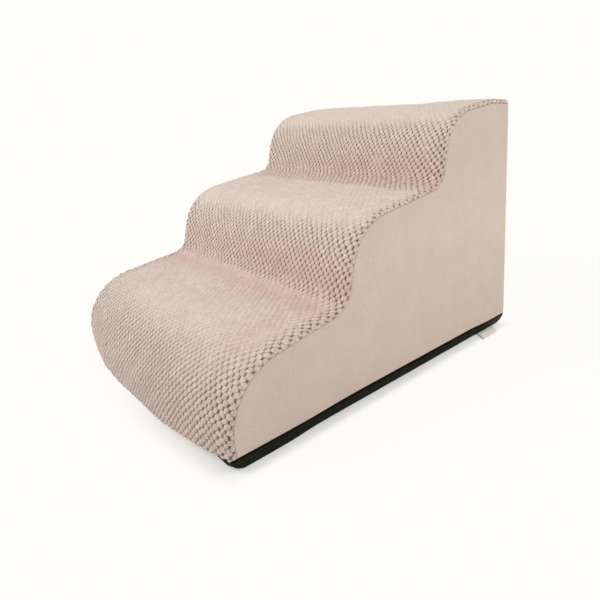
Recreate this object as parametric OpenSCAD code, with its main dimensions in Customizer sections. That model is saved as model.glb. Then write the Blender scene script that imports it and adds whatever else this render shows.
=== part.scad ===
// Pet stairs with three soft steps: a foam body in a sewn cover that zips off.
// X runs across the width, Y from the front foot to the back, and Z up.
// The origin lies on the floor, in the middle of the footprint.

/* [Overall] */
// Length from the front of the lowest nose, at the seams, to the back
stair_l = 500; // [480:5:560]
// Width across the two side panels
stair_w = 400; // [300:5:500]

/* [Steps] */
// Height of the lowest tread's front edge before rounding
first_rise = 96; // [90:1:120]
// Rise from one step to the next
step_rise = 120; // [112:1:135]
// Run from one step to the next, as a share of the length
run_share = 0.352; // [0.33:0.002:0.364]
// Slope of the treads in degrees, rising to the back
tread_slope = 10.2; // [4:0.2:12]
// Lean of the risers in degrees, back from upright
riser_lean = 11; // [4:0.2:14]
// Lean of the front face in degrees, forward from upright
front_lean = 6; // [0:0.5:8]
// Radius of the noses
nose_r = 73; // [60:1:76]
// Radius where a riser meets the tread below it
valley_r = 23; // [18:1:30]
// Length of the level crest along the back of the top tread
crest_l = 47; // [35:1:60]

/* [Cover] */
// Thickness of the bubble plush, pile included
plush_t = 6; // [4:0.5:8]
// Radius that the plush rolls in by at the side seams
edge_roll = 4; // [2:0.5:4]
// How far the front of the cover bulges at mid width
front_crown = 18; // [14:1:24]
// How far the bulging front hem hangs down over the black band
hem_drop = 11; // [4:0.5:13]
// Thickness of the velvet panels
panel_t = 3; // [2:0.5:5]
// Gap that a sewn seam leaves between two cloths
seam_gap = 0.3; // [0.2:0.05:0.5]

/* [Foam] */
// Thickness of the soft foam layer under the plush
comfort_t = 20; // [10:1:25]
// Thickness of the inner bag
liner_t = 0.8; // [0.5:0.1:1.5]

/* [Base] */
// Height of the black band
band_h = 14; // [14:0.5:20]
// Thickness of the band at its foot
band_t = 2; // [1.5:0.5:3]
// How far the band's foot draws in under the cover
band_draw = 3; // [2:0.5:5]
// Corner radius of the band's foot
foot_r = 18; // [12:1:25]
// Corner radius of the band's top edge
band_top_r = 4; // [3:0.5:8]
// How far the band stands back from the front seam
band_back = 1; // [0.5:0.5:2]
// Width of the straight hems at the band's two edges
band_hem = 2; // [1:0.5:3]
// Thickness of the non-slip base cloth
base_t = 2; // [1:0.5:3]
// Height of the grip dots
dot_h = 0.6; // [0.4:0.1:1]
// Diameter of the grip dots
dot_d = 8; // [5:0.5:10]
// Spacing of the grip dots along a row
dot_pitch = 48; // [36:2:60]
// Bare margin around the grip dots
dot_margin = 14; // [10:1:30]

/* [Labels] */
// Length of the side label along the band
label_l = 45; // [30:1:60]
// How far the side label sticks out past the band's foot
label_out = 15; // [8:1:20]
// Distance from the back to the middle of the side label
label_back = 48; // [40:1:90]
// Thickness of one ply of label cloth
label_t = 0.25; // [0.2:0.01:0.28]
// Width of the care label
care_w = 30; // [20:1:40]
// Length of the care label
care_l = 45; // [30:1:70]

/* [Zip] */
// Distance from each end of the zip to the side of the stairs
zip_margin = 30; // [22:1:80]
// Height of the slot that shows the zip
slot_h = 14; // [12:0.5:18]
// Thickness of the tapes
tape_t = 0.8; // [0.5:0.1:1]
// How far the upper tape runs up behind the back panel
tape_lap = 6; // [4:0.5:10]
// How far the tapes run on past the stops
tape_tail = 9; // [7:0.5:15]
// Width of one row of teeth
coil_w = 2.8; // [2:0.1:3.2]
// Thickness of the rows of teeth
coil_t = 2.4; // [1.8:0.1:2.6]
// Spacing of the teeth along a row
tooth_pitch = 2.5; // [2:0.1:4]
// Slit between the two rows of teeth
slit_w = 1; // [0.8:0.1:1.4]
// Length of a stop along the zip
stop_l = 3; // [2:0.5:4]
// Clearance round the slider
zip_gap = 0.4; // [0.3:0.05:0.5]
// Clearance of the slider's post in the slit
post_gap = 0.3; // [0.2:0.05:0.3]
// Length of the slider
slider_l = 11; // [9:0.5:14]
// Thickness of the slider's plates
plate_t = 1.2; // [0.8:0.1:1.5]
// Thickness of the slider's side flanges
flange_t = 0.9; // [0.6:0.1:1.2]
// Width of the slider's bridge
bridge_w = 2.2; // [1.6:0.1:2.6]
// Clear height under the bridge
bridge_h = 2.2; // [2.1:0.1:3]
// Clear length under the bridge
bridge_l = 5; // [4:0.2:6]
// Thickness of the bridge
bridge_t = 1.2; // [0.8:0.1:1.5]
// Length of the pull tab past its pivot
pull_l = 26; // [18:1:34]
// Width of the pull tab
pull_w = 7; // [6:0.5:9]
// Thickness of the pull tab, and of its pivot bar
pull_t = 1.4; // [1:0.1:1.6]

/* [Hidden] */

// Number of steps
steps = 3;
// Slope of the crest
crest_slope = 0;
// Straight pieces along a rounding of 90 degrees, and the fewest along any rounding
arc_steps = 9;
least_arc_steps = 2;
// Bays of the bulging pieces between the two places where the hem starts to drop
crown_bays = 4;
// Angle between the slices of the rolled edge
roll_step = 30;
// Overrun of the cuts
over = 1;
// Share of a tooth's spacing that the tooth fills
tooth_share = 0.55;
// Share of a row's width that the teeth stand out by
tooth_depth_share = 0.6;
// Share of the slider's width that is left at its narrow end
slider_tail_share = 0.78;
// Share of the slider's length that the post between the rows takes
post_share = 0.2;
// Share of the pull tab's width that its tip keeps
pull_tip_share = 0.8;
// Sides of a grip dot
dot_sides = 12;
// Facets of the pivot bar
bar_facets = 32;

front_y = -stair_l/2;
back_y = stair_l/2;
half_w = stair_w/2;
step_run = stair_l*run_share;

// Depth of each layer under the outer face of the plush
panel_d = plush_t + seam_gap;
liner_d = plush_t + seam_gap;
comfort_d = liner_d + liner_t + seam_gap;
core_d = comfort_d + comfort_t;

// Half widths of the layers between the side panels
liner_half_w = half_w - panel_t - seam_gap;
foam_half_w = liner_half_w - liner_t - seam_gap;

// Half the zip's length between its stops, and half the length of its tapes
zip_half_l = half_w - zip_margin;
tape_half_l = zip_half_l + tape_tail;

// Places of the zip's layers along Y, from the back panel inwards
tape_out_y = back_y - panel_t;
tape_in_y = tape_out_y - tape_t;
coil_out_y = tape_out_y + coil_t;
slider_in_y = tape_in_y - zip_gap - plate_t;
slider_out_y = coil_out_y + zip_gap + plate_t;
liner_back_y = slider_in_y - seam_gap;
foam_back_y = liner_back_y - liner_t - seam_gap;

// Heights
cover_foot_z = band_h + seam_gap;
foam_foot_z = dot_h + base_t + seam_gap;
zip_z = cover_foot_z + slot_h/2;
slot_top_z = cover_foot_z + slot_h;

// The outline of the steps, in Y and Z

// Corner i of the outline, where a riser and a tread would meet in a sharp edge
first_edge_y = front_y
    + nose_r*(1 - (cos(front_lean) + sin(tread_slope))/(1 + sin(tread_slope - front_lean)));
function edge(i) = [first_edge_y + i*step_run, first_rise + i*step_rise];

// The point where the top tread levels off
crest_run = back_y - crest_l - edge(steps - 1).x;
crest = edge(steps - 1) + [crest_run, crest_run*tan(tread_slope)];

// A straight side through point p in direction a, moved inwards by d
function side(p, a, d) = [p + d*[sin(a), -cos(a)], a];

// The point where two straight sides meet
function meet(m, n) =
    let (u = [cos(m[1]), sin(m[1])], v = [cos(n[1]), sin(n[1])], w = n[0] - m[0])
    m[0] + u*(w.x*v.y - w.y*v.x)/(u.x*v.y - u.y*v.x);

front_a = 90 + front_lean;
riser_a = 90 - riser_lean;

// The sides in order: front, then tread and riser in turn, the crest, and the back last
function sides(d, y_back) = [
    side(edge(0), front_a, d),
    for (i = [0:steps - 1]) each [
        if (i > 0) side(edge(i), riser_a, d),
        side(edge(i), tread_slope, d)
    ],
    side(crest, crest_slope, d),
    [[y_back, 0], -90]
];

// The rounded corner between directions a and b
function bend(corner, a, b, r) =
    let (s = a > b ? r : -r,
         t = r*tan(abs(a - b)/2),
         c = corner - t*[cos(a), sin(a)] + s*[sin(a), -cos(a)],
         n = max(least_arc_steps, ceil(arc_steps*abs(a - b)/90)))
    [for (k = [0:n])
        let (g = a + (b - a)*k/n)
        c - s*[sin(g), -cos(g)]];

// The outline at depth d, from height z_foot at the front up to y_back
function outline(d, z_foot, y_back) =
    let (s = sides(d, y_back), n = len(s))
    [
        meet([[0, z_foot], 0], s[0]),
        for (k = [1:n - 2])
            let (a = s[k - 1][1], b = s[k][1])
            each bend(meet(s[k - 1], s[k]), a, b, a > b ? nose_r - d : valley_r + d),
        meet(s[n - 2], s[n - 1])
    ];

// The same outline closed along the back and the foot
function section(d, z_foot, y_back) = concat(outline(d, z_foot, y_back), [[y_back, z_foot]]);

// Height at which riser i ends below, where its rounding starts
function riser_foot_z(i, d) =
    let (s = sides(d, back_y), k = 2*i, points = bend(meet(s[k - 1], s[k]), s[k - 1][1], s[k][1], valley_r + d))
    points[len(points) - 1].y;

// The bulge of the cover's front

// Bulge at place x across the width
function crown_at(x) = front_crown*(1 - pow(x/half_w, 2));

// Share of the bulge that is left at height z
function crown_fade(z) = z < first_rise ? pow(cos(90*z/first_rise), 2) : 0;

// The hem starts to drop at hem_x, where the bulge has carried the cover clear of the band
hem_clear = plush_t + seam_gap + band_back;
hem_x = half_w*sqrt(1 - hem_clear/front_crown);

// Height of the cover's foot at place x
function hem_z(x) = cover_foot_z - hem_drop*max(0, 1 - pow(x/hem_x, 2));

// A point of the outline placed at x, with its bulge and without it
function swollen(p, x) = [x, p.x - crown_at(x)*crown_fade(p.y), p.y];
function flat(p, x) = [x, p.x, p.y];

// Places across the width where a bulging piece of the given half width has a ring of points
function bays(half) = [-half, for (k = [0:crown_bays]) hem_x*(2*k/crown_bays - 1), half];

// Triangles of the sides of a tube of rings with n points each. The first half of the points, up to
// turn, and the rest cut their fields along opposite diagonals, so that two layers never cross.
function tube_faces(rings, n, turn) = [
    for (r = [0:rings - 2], k = [0:n - 1])
        let (a = r*n + k, b = r*n + (k + 1)%n)
        each k < turn ? [[a, b, b + n], [a, b + n, a + n]] : [[a, b, a + n], [b, b + n, a + n]]
];

// Triangles that close a ring whose second half runs back along its first half
function strip_caps(start, n, flip) = [
    for (k = [0:n/2 - 2])
        let (a = start + k, b = start + k + 1, c = start + n - 2 - k, d = start + n - 1 - k)
        each flip ? [[a, c, b], [a, d, c]] : [[a, b, c], [a, c, d]]
];

// Triangles that close a ring from its last point, from which all of the section can be seen
function fan_cap(start, n, flip) = [
    for (k = [0:n - 3])
        let (a = start + k, b = start + k + 1, c = start + n - 1)
        flip ? [c, b, a] : [c, a, b]
];

// A bent strip: rings is a list of rings, each an outer line and then the inner line run backwards
module strip(rings) {
    n = len(rings[0]);
    polyhedron(
        points = [for (r = rings) each r],
        faces = concat(
            tube_faces(len(rings), n, n/2),
            strip_caps(0, n, true),
            strip_caps(n*(len(rings) - 1), n, false)));
}

// A closed block between rings of the section's shape
module block(rings) {
    n = len(rings[0]);
    polyhedron(
        points = [for (r = rings) each r],
        faces = concat(
            tube_faces(len(rings), n, n),
            fan_cap(0, n, true),
            fan_cap(n*(len(rings) - 1), n, false)));
}

// A drawing in Y and Z, extruded along X
module across(x_from, x_to) {
    translate([x_from, 0, 0])
        rotate([90, 0, 90])
            linear_extrude(x_to - x_from)
                children();
}

// A box between two corners
module span(low, high) {
    translate(low)
        cube(high - low);
}

function reversed(list) = [for (k = [len(list) - 1:-1:0]) list[k]];

// A rectangle with round corners
function round_rect(x, y_low, y_high, r) =
    let (centres = [[x - r, y_high - r], [r - x, y_high - r], [r - x, y_low + r], [x - r, y_low + r]])
    [for (q = [0:3], k = [0:arc_steps])
        let (g = 90*(q + k/arc_steps))
        centres[q] + r*[cos(g), sin(g)]];

// The band's footprint

band_front_y = meet([[0, band_h], 0], side(edge(0), front_a, 0)).x + band_back;

// Plan at the band's foot, moved inwards by d
function foot_plan(d) =
    round_rect(half_w - band_draw - d, band_front_y + band_draw + d, back_y - band_draw - d, foot_r - d);
liner_foot_d = band_t + seam_gap;
foam_foot_d = liner_foot_d + liner_t + seam_gap;

// All that lies outside the foot's plan, up to height z
module foot_trim(d, z) {
    difference() {
        span([-half_w - over, front_y - front_crown - over, -over], [half_w + over, back_y + over, z]);
        translate([0, 0, -2*over])
            linear_extrude(z + 3*over)
                polygon(foot_plan(d));
    }
}

// The foam body

// The part of the core between two heights
module core_slab(z_low, z_high) {
    difference() {
        across(-foam_half_w, foam_half_w)
            intersection() {
                polygon(section(core_d, foam_foot_z, foam_back_y));
                translate([front_y, z_low])
                    square([stair_l, z_high - z_low]);
            }
        foot_trim(foam_foot_d, cover_foot_z + liner_t + seam_gap);
    }
}

module core_lower() {
    color("#e9dfc3")
        core_slab(foam_foot_z, riser_foot_z(1, core_d));
}

module core_middle() {
    color("#e3d6b4")
        core_slab(riser_foot_z(1, core_d), riser_foot_z(2, core_d));
}

module core_upper() {
    color("#e9dfc3")
        core_slab(riser_foot_z(2, core_d), first_rise + steps*step_rise);
}

module comfort_foam() {
    outer = outline(comfort_d, foam_foot_z, foam_back_y);
    inner = reversed(outline(core_d, foam_foot_z, foam_back_y));
    color("#f3efe2")
        difference() {
            strip([for (x = bays(foam_half_w))
                concat([for (p = outer) swollen(p, x)], [for (p = inner) flat(p, x)])]);
            foot_trim(foam_foot_d, cover_foot_z + liner_t + seam_gap);
        }
}

// The solid that the inner bag fills, d deep under the cover
module bag(d, half, z_foot, y_back, foot_d, shelf_z) {
    line = outline(d, z_foot, y_back);
    difference() {
        block([for (x = bays(half)) concat([for (p = line) swollen(p, x)], [flat([y_back, z_foot], x)])]);
        foot_trim(foot_d, shelf_z);
    }
}

// The inner bag is open below, where the foam block goes in
module inner_liner() {
    color("#f4f4f0")
        difference() {
            bag(liner_d, liner_half_w, foam_foot_z, liner_back_y, liner_foot_d, cover_foot_z);
            bag(liner_d + liner_t, liner_half_w - liner_t, foam_foot_z - over, liner_back_y - liner_t,
                liner_foot_d + liner_t, cover_foot_z + liner_t);
        }
}

// The cover

// Depth of the plush's outer face, and place, at angle a of the rolled edge
function roll_ring(a) = [half_w - edge_roll*(1 - cos(a)), edge_roll*(1 - sin(a))];

module tread_cover() {
    rolled = [for (a = [0:roll_step:90 - roll_step]) roll_ring(a)];
    places = concat(
        [for (r = rolled) [-r.x, r.y]],
        [for (x = bays(half_w - edge_roll)) [x, 0]],
        reversed(rolled));
    color("#d9c7bb")
        strip([for (r = places)
            let (z = hem_z(r.x))
            [for (p = concat(outline(r.y, z, back_y), reversed(outline(plush_t, z, back_y))))
                swollen(p, r.x)]]);
}

module side_panel() {
    across(half_w - panel_t, half_w)
        polygon(section(panel_d, cover_foot_z, back_y));
}

module side_panel_right() {
    color("#ccbaac")
        side_panel();
}

module side_panel_left() {
    color("#ccbaac")
        mirror([1, 0, 0])
            side_panel();
}

module back_panel() {
    half = half_w - panel_t - seam_gap;
    slot_half_l = zip_half_l + stop_l + seam_gap;
    top = side(crest, crest_slope, panel_d);
    color("#c6b4a5")
        difference() {
            across(-half, half)
                polygon([
                    [back_y - panel_t, cover_foot_z],
                    [back_y, cover_foot_z],
                    meet(top, [[back_y, 0], 90]),
                    meet(top, [[back_y - panel_t, 0], 90])]);
            span([-slot_half_l, back_y - panel_t - over, cover_foot_z - over],
                 [slot_half_l, back_y + over, slot_top_z]);
        }
}

// The base

module base_band() {
    color("#1d1f1c")
        difference() {
            hull() {
                translate([0, 0, dot_h])
                    linear_extrude(band_hem)
                        polygon(foot_plan(0));
                translate([0, 0, band_h - band_hem])
                    linear_extrude(band_hem)
                        polygon(round_rect(half_w, band_front_y, back_y, band_top_r));
            }
            translate([0, 0, dot_h - over])
                linear_extrude(band_h + 2*over)
                    polygon(foot_plan(band_t));
        }
}

module base_panel() {
    color("#232522")
        translate([0, 0, dot_h])
            linear_extrude(base_t)
                polygon(foot_plan(band_t + seam_gap));
}

// Two staggered sets of rows, so that one dot lies at the origin
module grip_dots() {
    half_x = half_w - band_draw - dot_margin;
    half_y = stair_l/2 - band_draw - dot_margin;
    rows = floor(half_y/(dot_pitch/2));
    color("#3a3c39")
        for (r = [-rows:rows]) {
            shift = r%2 == 0 ? 0 : dot_pitch/2;
            count = floor((half_x - shift)/dot_pitch);
            for (c = [-count - (r%2 == 0 ? 0 : 1):count])
                translate([c*dot_pitch + shift, r*dot_pitch/2, 0])
                    cylinder(h = dot_h, d = dot_d, $fn = dot_sides);
        }
}

// The labels

// A folded tab under the band's edge: two plies joined by the fold
module side_label() {
    y = back_y - label_back;
    root_x = half_w - band_draw - band_t;
    tip_x = half_w - band_draw + label_out;
    color("#e6d9c6")
        difference() {
            span([root_x, y - label_l/2, 0], [tip_x, y + label_l/2, dot_h]);
            span([root_x - over, y - label_l/2 - over, label_t],
                 [tip_x - label_t, y + label_l/2 + over, dot_h - label_t]);
        }
}

module care_label() {
    z = slot_top_z + tape_lap + seam_gap;
    color("#f2f2ee")
        span([-care_w/2, tape_out_y - 2*label_t, z], [care_w/2, tape_out_y, z + care_l]);
}

// The zip, which runs along X at height zip_z

module zipper_tape_upper() {
    color("#b7a594")
        span([-tape_half_l, tape_in_y, zip_z + slit_w/2], [tape_half_l, tape_out_y, slot_top_z + tape_lap]);
}

module zipper_tape_lower() {
    color("#b7a594")
        span([-tape_half_l, tape_in_y, cover_foot_z], [tape_half_l, tape_out_y, zip_z - slit_w/2]);
}

// A row of teeth, seen in X and Z, with the teeth towards the slit and the first tooth at x_first
module tooth_row(x_first) {
    tooth_w = tooth_pitch*tooth_share;
    depth = coil_w*tooth_depth_share;
    count = floor((zip_half_l - x_first - tooth_w)/tooth_pitch);
    rotate([90, 0, 0])
        linear_extrude(coil_t)
            polygon(concat(
                [[zip_half_l, coil_w], [-zip_half_l, coil_w], [-zip_half_l, depth]],
                [for (k = [0:count])
                    let (x = x_first + k*tooth_pitch)
                    each [[x, depth], [x, 0], [x + tooth_w, 0], [x + tooth_w, depth]]],
                [[zip_half_l, depth]]));
}

module zipper_coil_upper() {
    color("#a8957f")
        translate([0, coil_out_y, zip_z + slit_w/2])
            tooth_row(-zip_half_l + tooth_pitch/4);
}

module zipper_coil_lower() {
    color("#a8957f")
        translate([0, coil_out_y, zip_z - slit_w/2])
            mirror([0, 0, 1])
                tooth_row(-zip_half_l + tooth_pitch*3/4);
}

// One closed end box, and a stop for each row at the other end
module zipper_stops() {
    row_in = slit_w/2;
    row_out = slit_w/2 + coil_w;
    color("#9a8b7c") {
        span([-zip_half_l - stop_l, tape_out_y, zip_z - row_out],
             [-zip_half_l, coil_out_y, zip_z + row_out]);
        span([zip_half_l, tape_out_y, zip_z + row_in],
             [zip_half_l + stop_l, coil_out_y, zip_z + row_out]);
        span([zip_half_l, tape_out_y, zip_z - row_out],
             [zip_half_l + stop_l, coil_out_y, zip_z - row_in]);
    }
}

// The slider stands at the closed end of its travel
slider_x = zip_half_l - zip_gap - slider_l/2;
flange_in = slit_w/2 + coil_w + zip_gap;
slider_half_w = flange_in + flange_t;
post_w = slit_w - 2*post_gap;
pivot_y = slider_out_y + seam_gap + pull_t/2;

// The slider's outline in X and Z, wide at its leading end
module slider_shape() {
    polygon([
        [-slider_l/2, -slider_half_w*slider_tail_share],
        [slider_l/2 - slider_l*post_share, -slider_half_w],
        [slider_l/2, -slider_half_w*slider_tail_share],
        [slider_l/2, slider_half_w*slider_tail_share],
        [slider_l/2 - slider_l*post_share, slider_half_w],
        [-slider_l/2, slider_half_w*slider_tail_share]]);
}

// A drawing in X and Z round the slider's middle, extruded between two places along Y
module slider_layer(y_from, y_to) {
    translate([slider_x, y_to, zip_z])
        rotate([90, 0, 0])
            linear_extrude(y_to - y_from)
                children();
}

module zipper_slider() {
    bridge_half_l = bridge_l/2 + bridge_t;
    color("#b9b3aa")
        union() {
            slider_layer(slider_out_y - plate_t, slider_out_y)
                slider_shape();
            slider_layer(slider_in_y, slider_in_y + plate_t)
                slider_shape();
            // The flanges reach down from the outer plate beside the rows
            slider_layer(tape_out_y + zip_gap, slider_out_y)
                intersection() {
                    slider_shape();
                    union() {
                        translate([-slider_l/2, flange_in])
                            square([slider_l, flange_t]);
                        translate([-slider_l/2, -slider_half_w])
                            square([slider_l, flange_t]);
                    }
                }
            // The post runs in the slit and joins the two plates
            slider_layer(slider_in_y, slider_out_y)
                translate([slider_l/2 - slider_l*post_share, -post_w/2])
                    square([slider_l*post_share, post_w]);
            span([slider_x - bridge_half_l, slider_out_y - plate_t/2, zip_z - bridge_w/2],
                 [slider_x - bridge_l/2, slider_out_y + bridge_h, zip_z + bridge_w/2]);
            span([slider_x + bridge_l/2, slider_out_y - plate_t/2, zip_z - bridge_w/2],
                 [slider_x + bridge_half_l, slider_out_y + bridge_h, zip_z + bridge_w/2]);
            span([slider_x - bridge_half_l, slider_out_y + bridge_h, zip_z - bridge_w/2],
                 [slider_x + bridge_half_l, slider_out_y + bridge_h + bridge_t, zip_z + bridge_w/2]);
        }
}

// The tab lies along the zip, behind the slider, and its pivot bar lies under the bridge
module pull_tab() {
    window_half_w = bridge_w/2 + zip_gap;
    window_l = bridge_l/2 + bridge_t + 2*zip_gap;
    color("#b9b3aa")
        union() {
            translate([slider_x, pivot_y + pull_t/2, zip_z])
                rotate([90, 0, 0])
                    linear_extrude(pull_t)
                        difference() {
                            polygon([
                                [0, -pull_w/2],
                                [0, pull_w/2],
                                [-pull_l, pull_w*pull_tip_share/2],
                                [-pull_l, -pull_w*pull_tip_share/2]]);
                            translate([-window_l, -window_half_w])
                                square([window_l + over, 2*window_half_w]);
                        }
            translate([slider_x, pivot_y, zip_z - pull_w/2])
                cylinder(h = pull_w, d = pull_t, $fn = bar_facets);
        }
}

core_lower();
core_middle();
core_upper();
comfort_foam();
inner_liner();
tread_cover();
side_panel_left();
side_panel_right();
back_panel();
base_band();
base_panel();
grip_dots();
side_label();
care_label();
zipper_tape_upper();
zipper_tape_lower();
zipper_coil_upper();
zipper_coil_lower();
zipper_stops();
zipper_slider();
pull_tab();
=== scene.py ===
"""Pet stairs in bubble plush and velvet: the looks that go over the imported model.

Lengths are in metres and angles in degrees. X runs across the stairs, Y from the front to the
back, and Z up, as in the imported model.
"""

import logging
import math
from abc import ABC, abstractmethod
from dataclasses import dataclass, field
from enum import Enum, IntEnum
from typing import Sequence, Union

import bmesh
import bpy
import numpy as np
from mathutils import Matrix, Vector


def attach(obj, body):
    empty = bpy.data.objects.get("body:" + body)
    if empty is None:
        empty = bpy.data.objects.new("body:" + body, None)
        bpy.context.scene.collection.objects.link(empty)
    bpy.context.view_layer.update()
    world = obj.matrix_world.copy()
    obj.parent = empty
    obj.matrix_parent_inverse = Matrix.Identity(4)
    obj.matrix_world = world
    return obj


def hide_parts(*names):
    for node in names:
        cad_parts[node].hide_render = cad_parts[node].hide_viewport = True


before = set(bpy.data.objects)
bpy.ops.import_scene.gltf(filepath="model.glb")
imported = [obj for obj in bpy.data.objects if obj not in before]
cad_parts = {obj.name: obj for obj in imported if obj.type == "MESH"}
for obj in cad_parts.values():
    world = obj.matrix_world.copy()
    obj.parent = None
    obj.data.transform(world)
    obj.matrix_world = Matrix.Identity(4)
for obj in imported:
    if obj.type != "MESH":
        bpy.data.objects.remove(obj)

log = logging.getLogger("pet_stairs")
Colour = tuple[float, float, float, float]
Span = tuple[float, float]
Triple = tuple[float, float, float]
Ramp = tuple[float, float, float, float]
Array = np.ndarray
Mesh = bmesh.types.BMesh
Object = bpy.types.Object
Material = bpy.types.Material
Node = bpy.types.Node
Socket = bpy.types.NodeSocket
Source = Union[float, Sequence[float], Socket]

CLOTH_MAP = "cloth"


class Slot(Enum):
    """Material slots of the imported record."""

    PLUSH = "bubble_plush"
    VELVET = "velvet"
    BAND = "black_cloth"
    LABEL = "label_cloth"


class Face(Enum):
    """The side of the stairs that a velvet panel covers."""

    LEFT = "left"
    RIGHT = "right"
    BACK = "back"


class Seam(IntEnum):
    """What an edge of a velvet panel is sewn to."""

    PLUSH = 0
    PANEL = 1
    BAND = 2


class Seed(IntEnum):
    """Seeds of the slow unevenness, one for each use."""

    FOAM = 3
    WORN = 5
    DIMPLES = 8
    BLUSH = 21
    VELVET = 31
    BAND = 44
    COLUMNS = 61
    ROWS = 67
    QUICK_COLUMNS = 71
    QUICK_ROWS = 73
    CAPS = 77
    PATCHES = 91


def srgb(red: int, green: int, blue: int) -> Colour:
    """Turn a screen colour into the linear colour that a shader takes.

    Args:
        red: Red from 0 to 255.
        green: Green from 0 to 255.
        blue: Blue from 0 to 255.

    Returns:
        The linear colour, opaque.
    """
    parts = [c / 255 for c in (red, green, blue)]
    linear = [c / 12.92 if c <= 0.04045 else ((c + 0.055) / 1.055) ** 2.4 for c in parts]
    return (linear[0], linear[1], linear[2], 1.0)


def ease(low: float, high: float, value: Array) -> Array:
    """Rise smoothly from 0 at low to 1 at high.

    Args:
        low: Value below which the result is 0.
        high: Value above which the result is 1.
        value: The values to map.

    Returns:
        The eased values.
    """
    t = np.clip((value - low) / (high - low), 0, 1)
    return t * t * (3 - 2 * t)


def bell(value: Array, width: float | Array) -> Array:
    """Fall smoothly from 1 at 0 to nearly 0 two widths away."""
    return np.exp(-((value / width) ** 2))


def lengths_along(points: Array) -> Array:
    """Return how far along a line each of its points lies."""
    return np.concatenate([[0], np.cumsum(np.linalg.norm(np.diff(points, axis=0), axis=1))])


WAVES = 7
WAVE_SIZES = (0.6, 1.6)
WAVE_PEAK = 3.2


def soft_noise(first: Array, second: Array, size: float, seed: int) -> Array:
    """Slow, smooth unevenness over a surface, about -1 to 1, made of a few seeded waves.

    Args:
        first: First coordinate along the surface.
        second: Second coordinate along the surface.
        size: Length of one wave.
        seed: Seed of the waves' directions and offsets.

    Returns:
        The unevenness at each place.
    """
    rng = np.random.default_rng(seed)
    total = np.zeros(np.broadcast(first, second).shape)
    for _ in range(WAVES):
        angle = rng.uniform(0, math.tau)
        wave = math.tau / (size * rng.uniform(*WAVE_SIZES))
        offset = rng.uniform(0, math.tau)
        total = total + np.sin(wave * (first * math.cos(angle) + second * math.sin(angle)) + offset)
    return total / WAVE_PEAK


# ---- Shape helpers -------------------------------------------------------------------------


def shell(places: Array, layers: dict[str, Array]) -> Mesh:
    """Make a grid and move its points to the given places.

    Args:
        places: Places of the points, as rows by columns by 3.
        layers: Values for each point, as rows by columns, kept under their names.

    Returns:
        The mesh, whose points are in order of row and then column.
    """
    rows, columns = places.shape[:2]
    mesh = bmesh.new()
    bmesh.ops.create_grid(mesh, x_segments=columns - 1, y_segments=rows - 1, size=1.0)
    for vert, place in zip(mesh.verts, places.reshape(-1, 3)):
        vert.co = place
    for name, values in layers.items():
        layer = mesh.verts.layers.float.new(name)
        for vert, value in zip(mesh.verts, values.reshape(-1)):
            vert[layer] = value
    return mesh


def close_round(mesh: Mesh, rows: int, columns: int) -> None:
    """Weld the last column of a grid to its first.

    Args:
        mesh: A mesh made by shell().
        rows: Number of rows.
        columns: Number of columns.
    """
    mesh.verts.ensure_lookup_table()
    pairs = {mesh.verts[r * columns + columns - 1]: mesh.verts[r * columns] for r in range(rows)}
    bmesh.ops.weld_verts(mesh, targetmap=pairs)


def close_ends(mesh: Mesh) -> None:
    """Close each open end of a flattened tube by bridging its outer edge to its inner edge.

    Args:
        mesh: The tube, whose points keep their row and whether they are outer ones.
    """
    row, outer = (mesh.verts.layers.float[name] for name in ("row", "outer"))
    rims: dict[int, list[bmesh.types.BMEdge]] = {}
    for edge in mesh.edges:
        a, b = edge.verts
        if edge.is_boundary and a[outer] == b[outer]:
            rims.setdefault(int(a[row]), []).append(edge)
    for edges in rims.values():
        bmesh.ops.bridge_loops(mesh, edges=edges)


def piece(name: str, mesh: Mesh, material: Material) -> Object:
    """Turn a bmesh into a shown, smoothly shaded piece at the origin.

    Args:
        name: Name of the piece.
        mesh: The shape, which is freed.
        material: Its material.

    Returns:
        The new object.
    """
    data = bpy.data.meshes.new(name)
    mesh.to_mesh(data)
    mesh.free()
    data.materials.append(material)
    data.polygons.foreach_set("use_smooth", [True] * len(data.polygons))
    obj = bpy.data.objects.new(name, data)
    bpy.context.scene.collection.objects.link(obj)
    return obj


def map_surface(obj: Object, across: str = "across", along: str = "along") -> None:
    """Write a UV map in metres from two point attributes.

    Args:
        obj: The piece.
        across: Attribute with the first coordinate.
        along: Attribute with the second coordinate.
    """
    data = obj.data
    count = len(data.vertices)
    pair = []
    for name in (across, along):
        values = np.zeros(count, np.float32)
        data.attributes[name].data.foreach_get("value", values)
        pair.append(values)
    corner = np.zeros(len(data.loops), np.int32)
    data.loops.foreach_get("vertex_index", corner)
    layer = data.uv_layers.new(name=CLOTH_MAP)
    layer.data.foreach_set("uv", np.stack([pair[0][corner], pair[1][corner]], 1).ravel())


# ---- Shader helpers ------------------------------------------------------------------------


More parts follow.
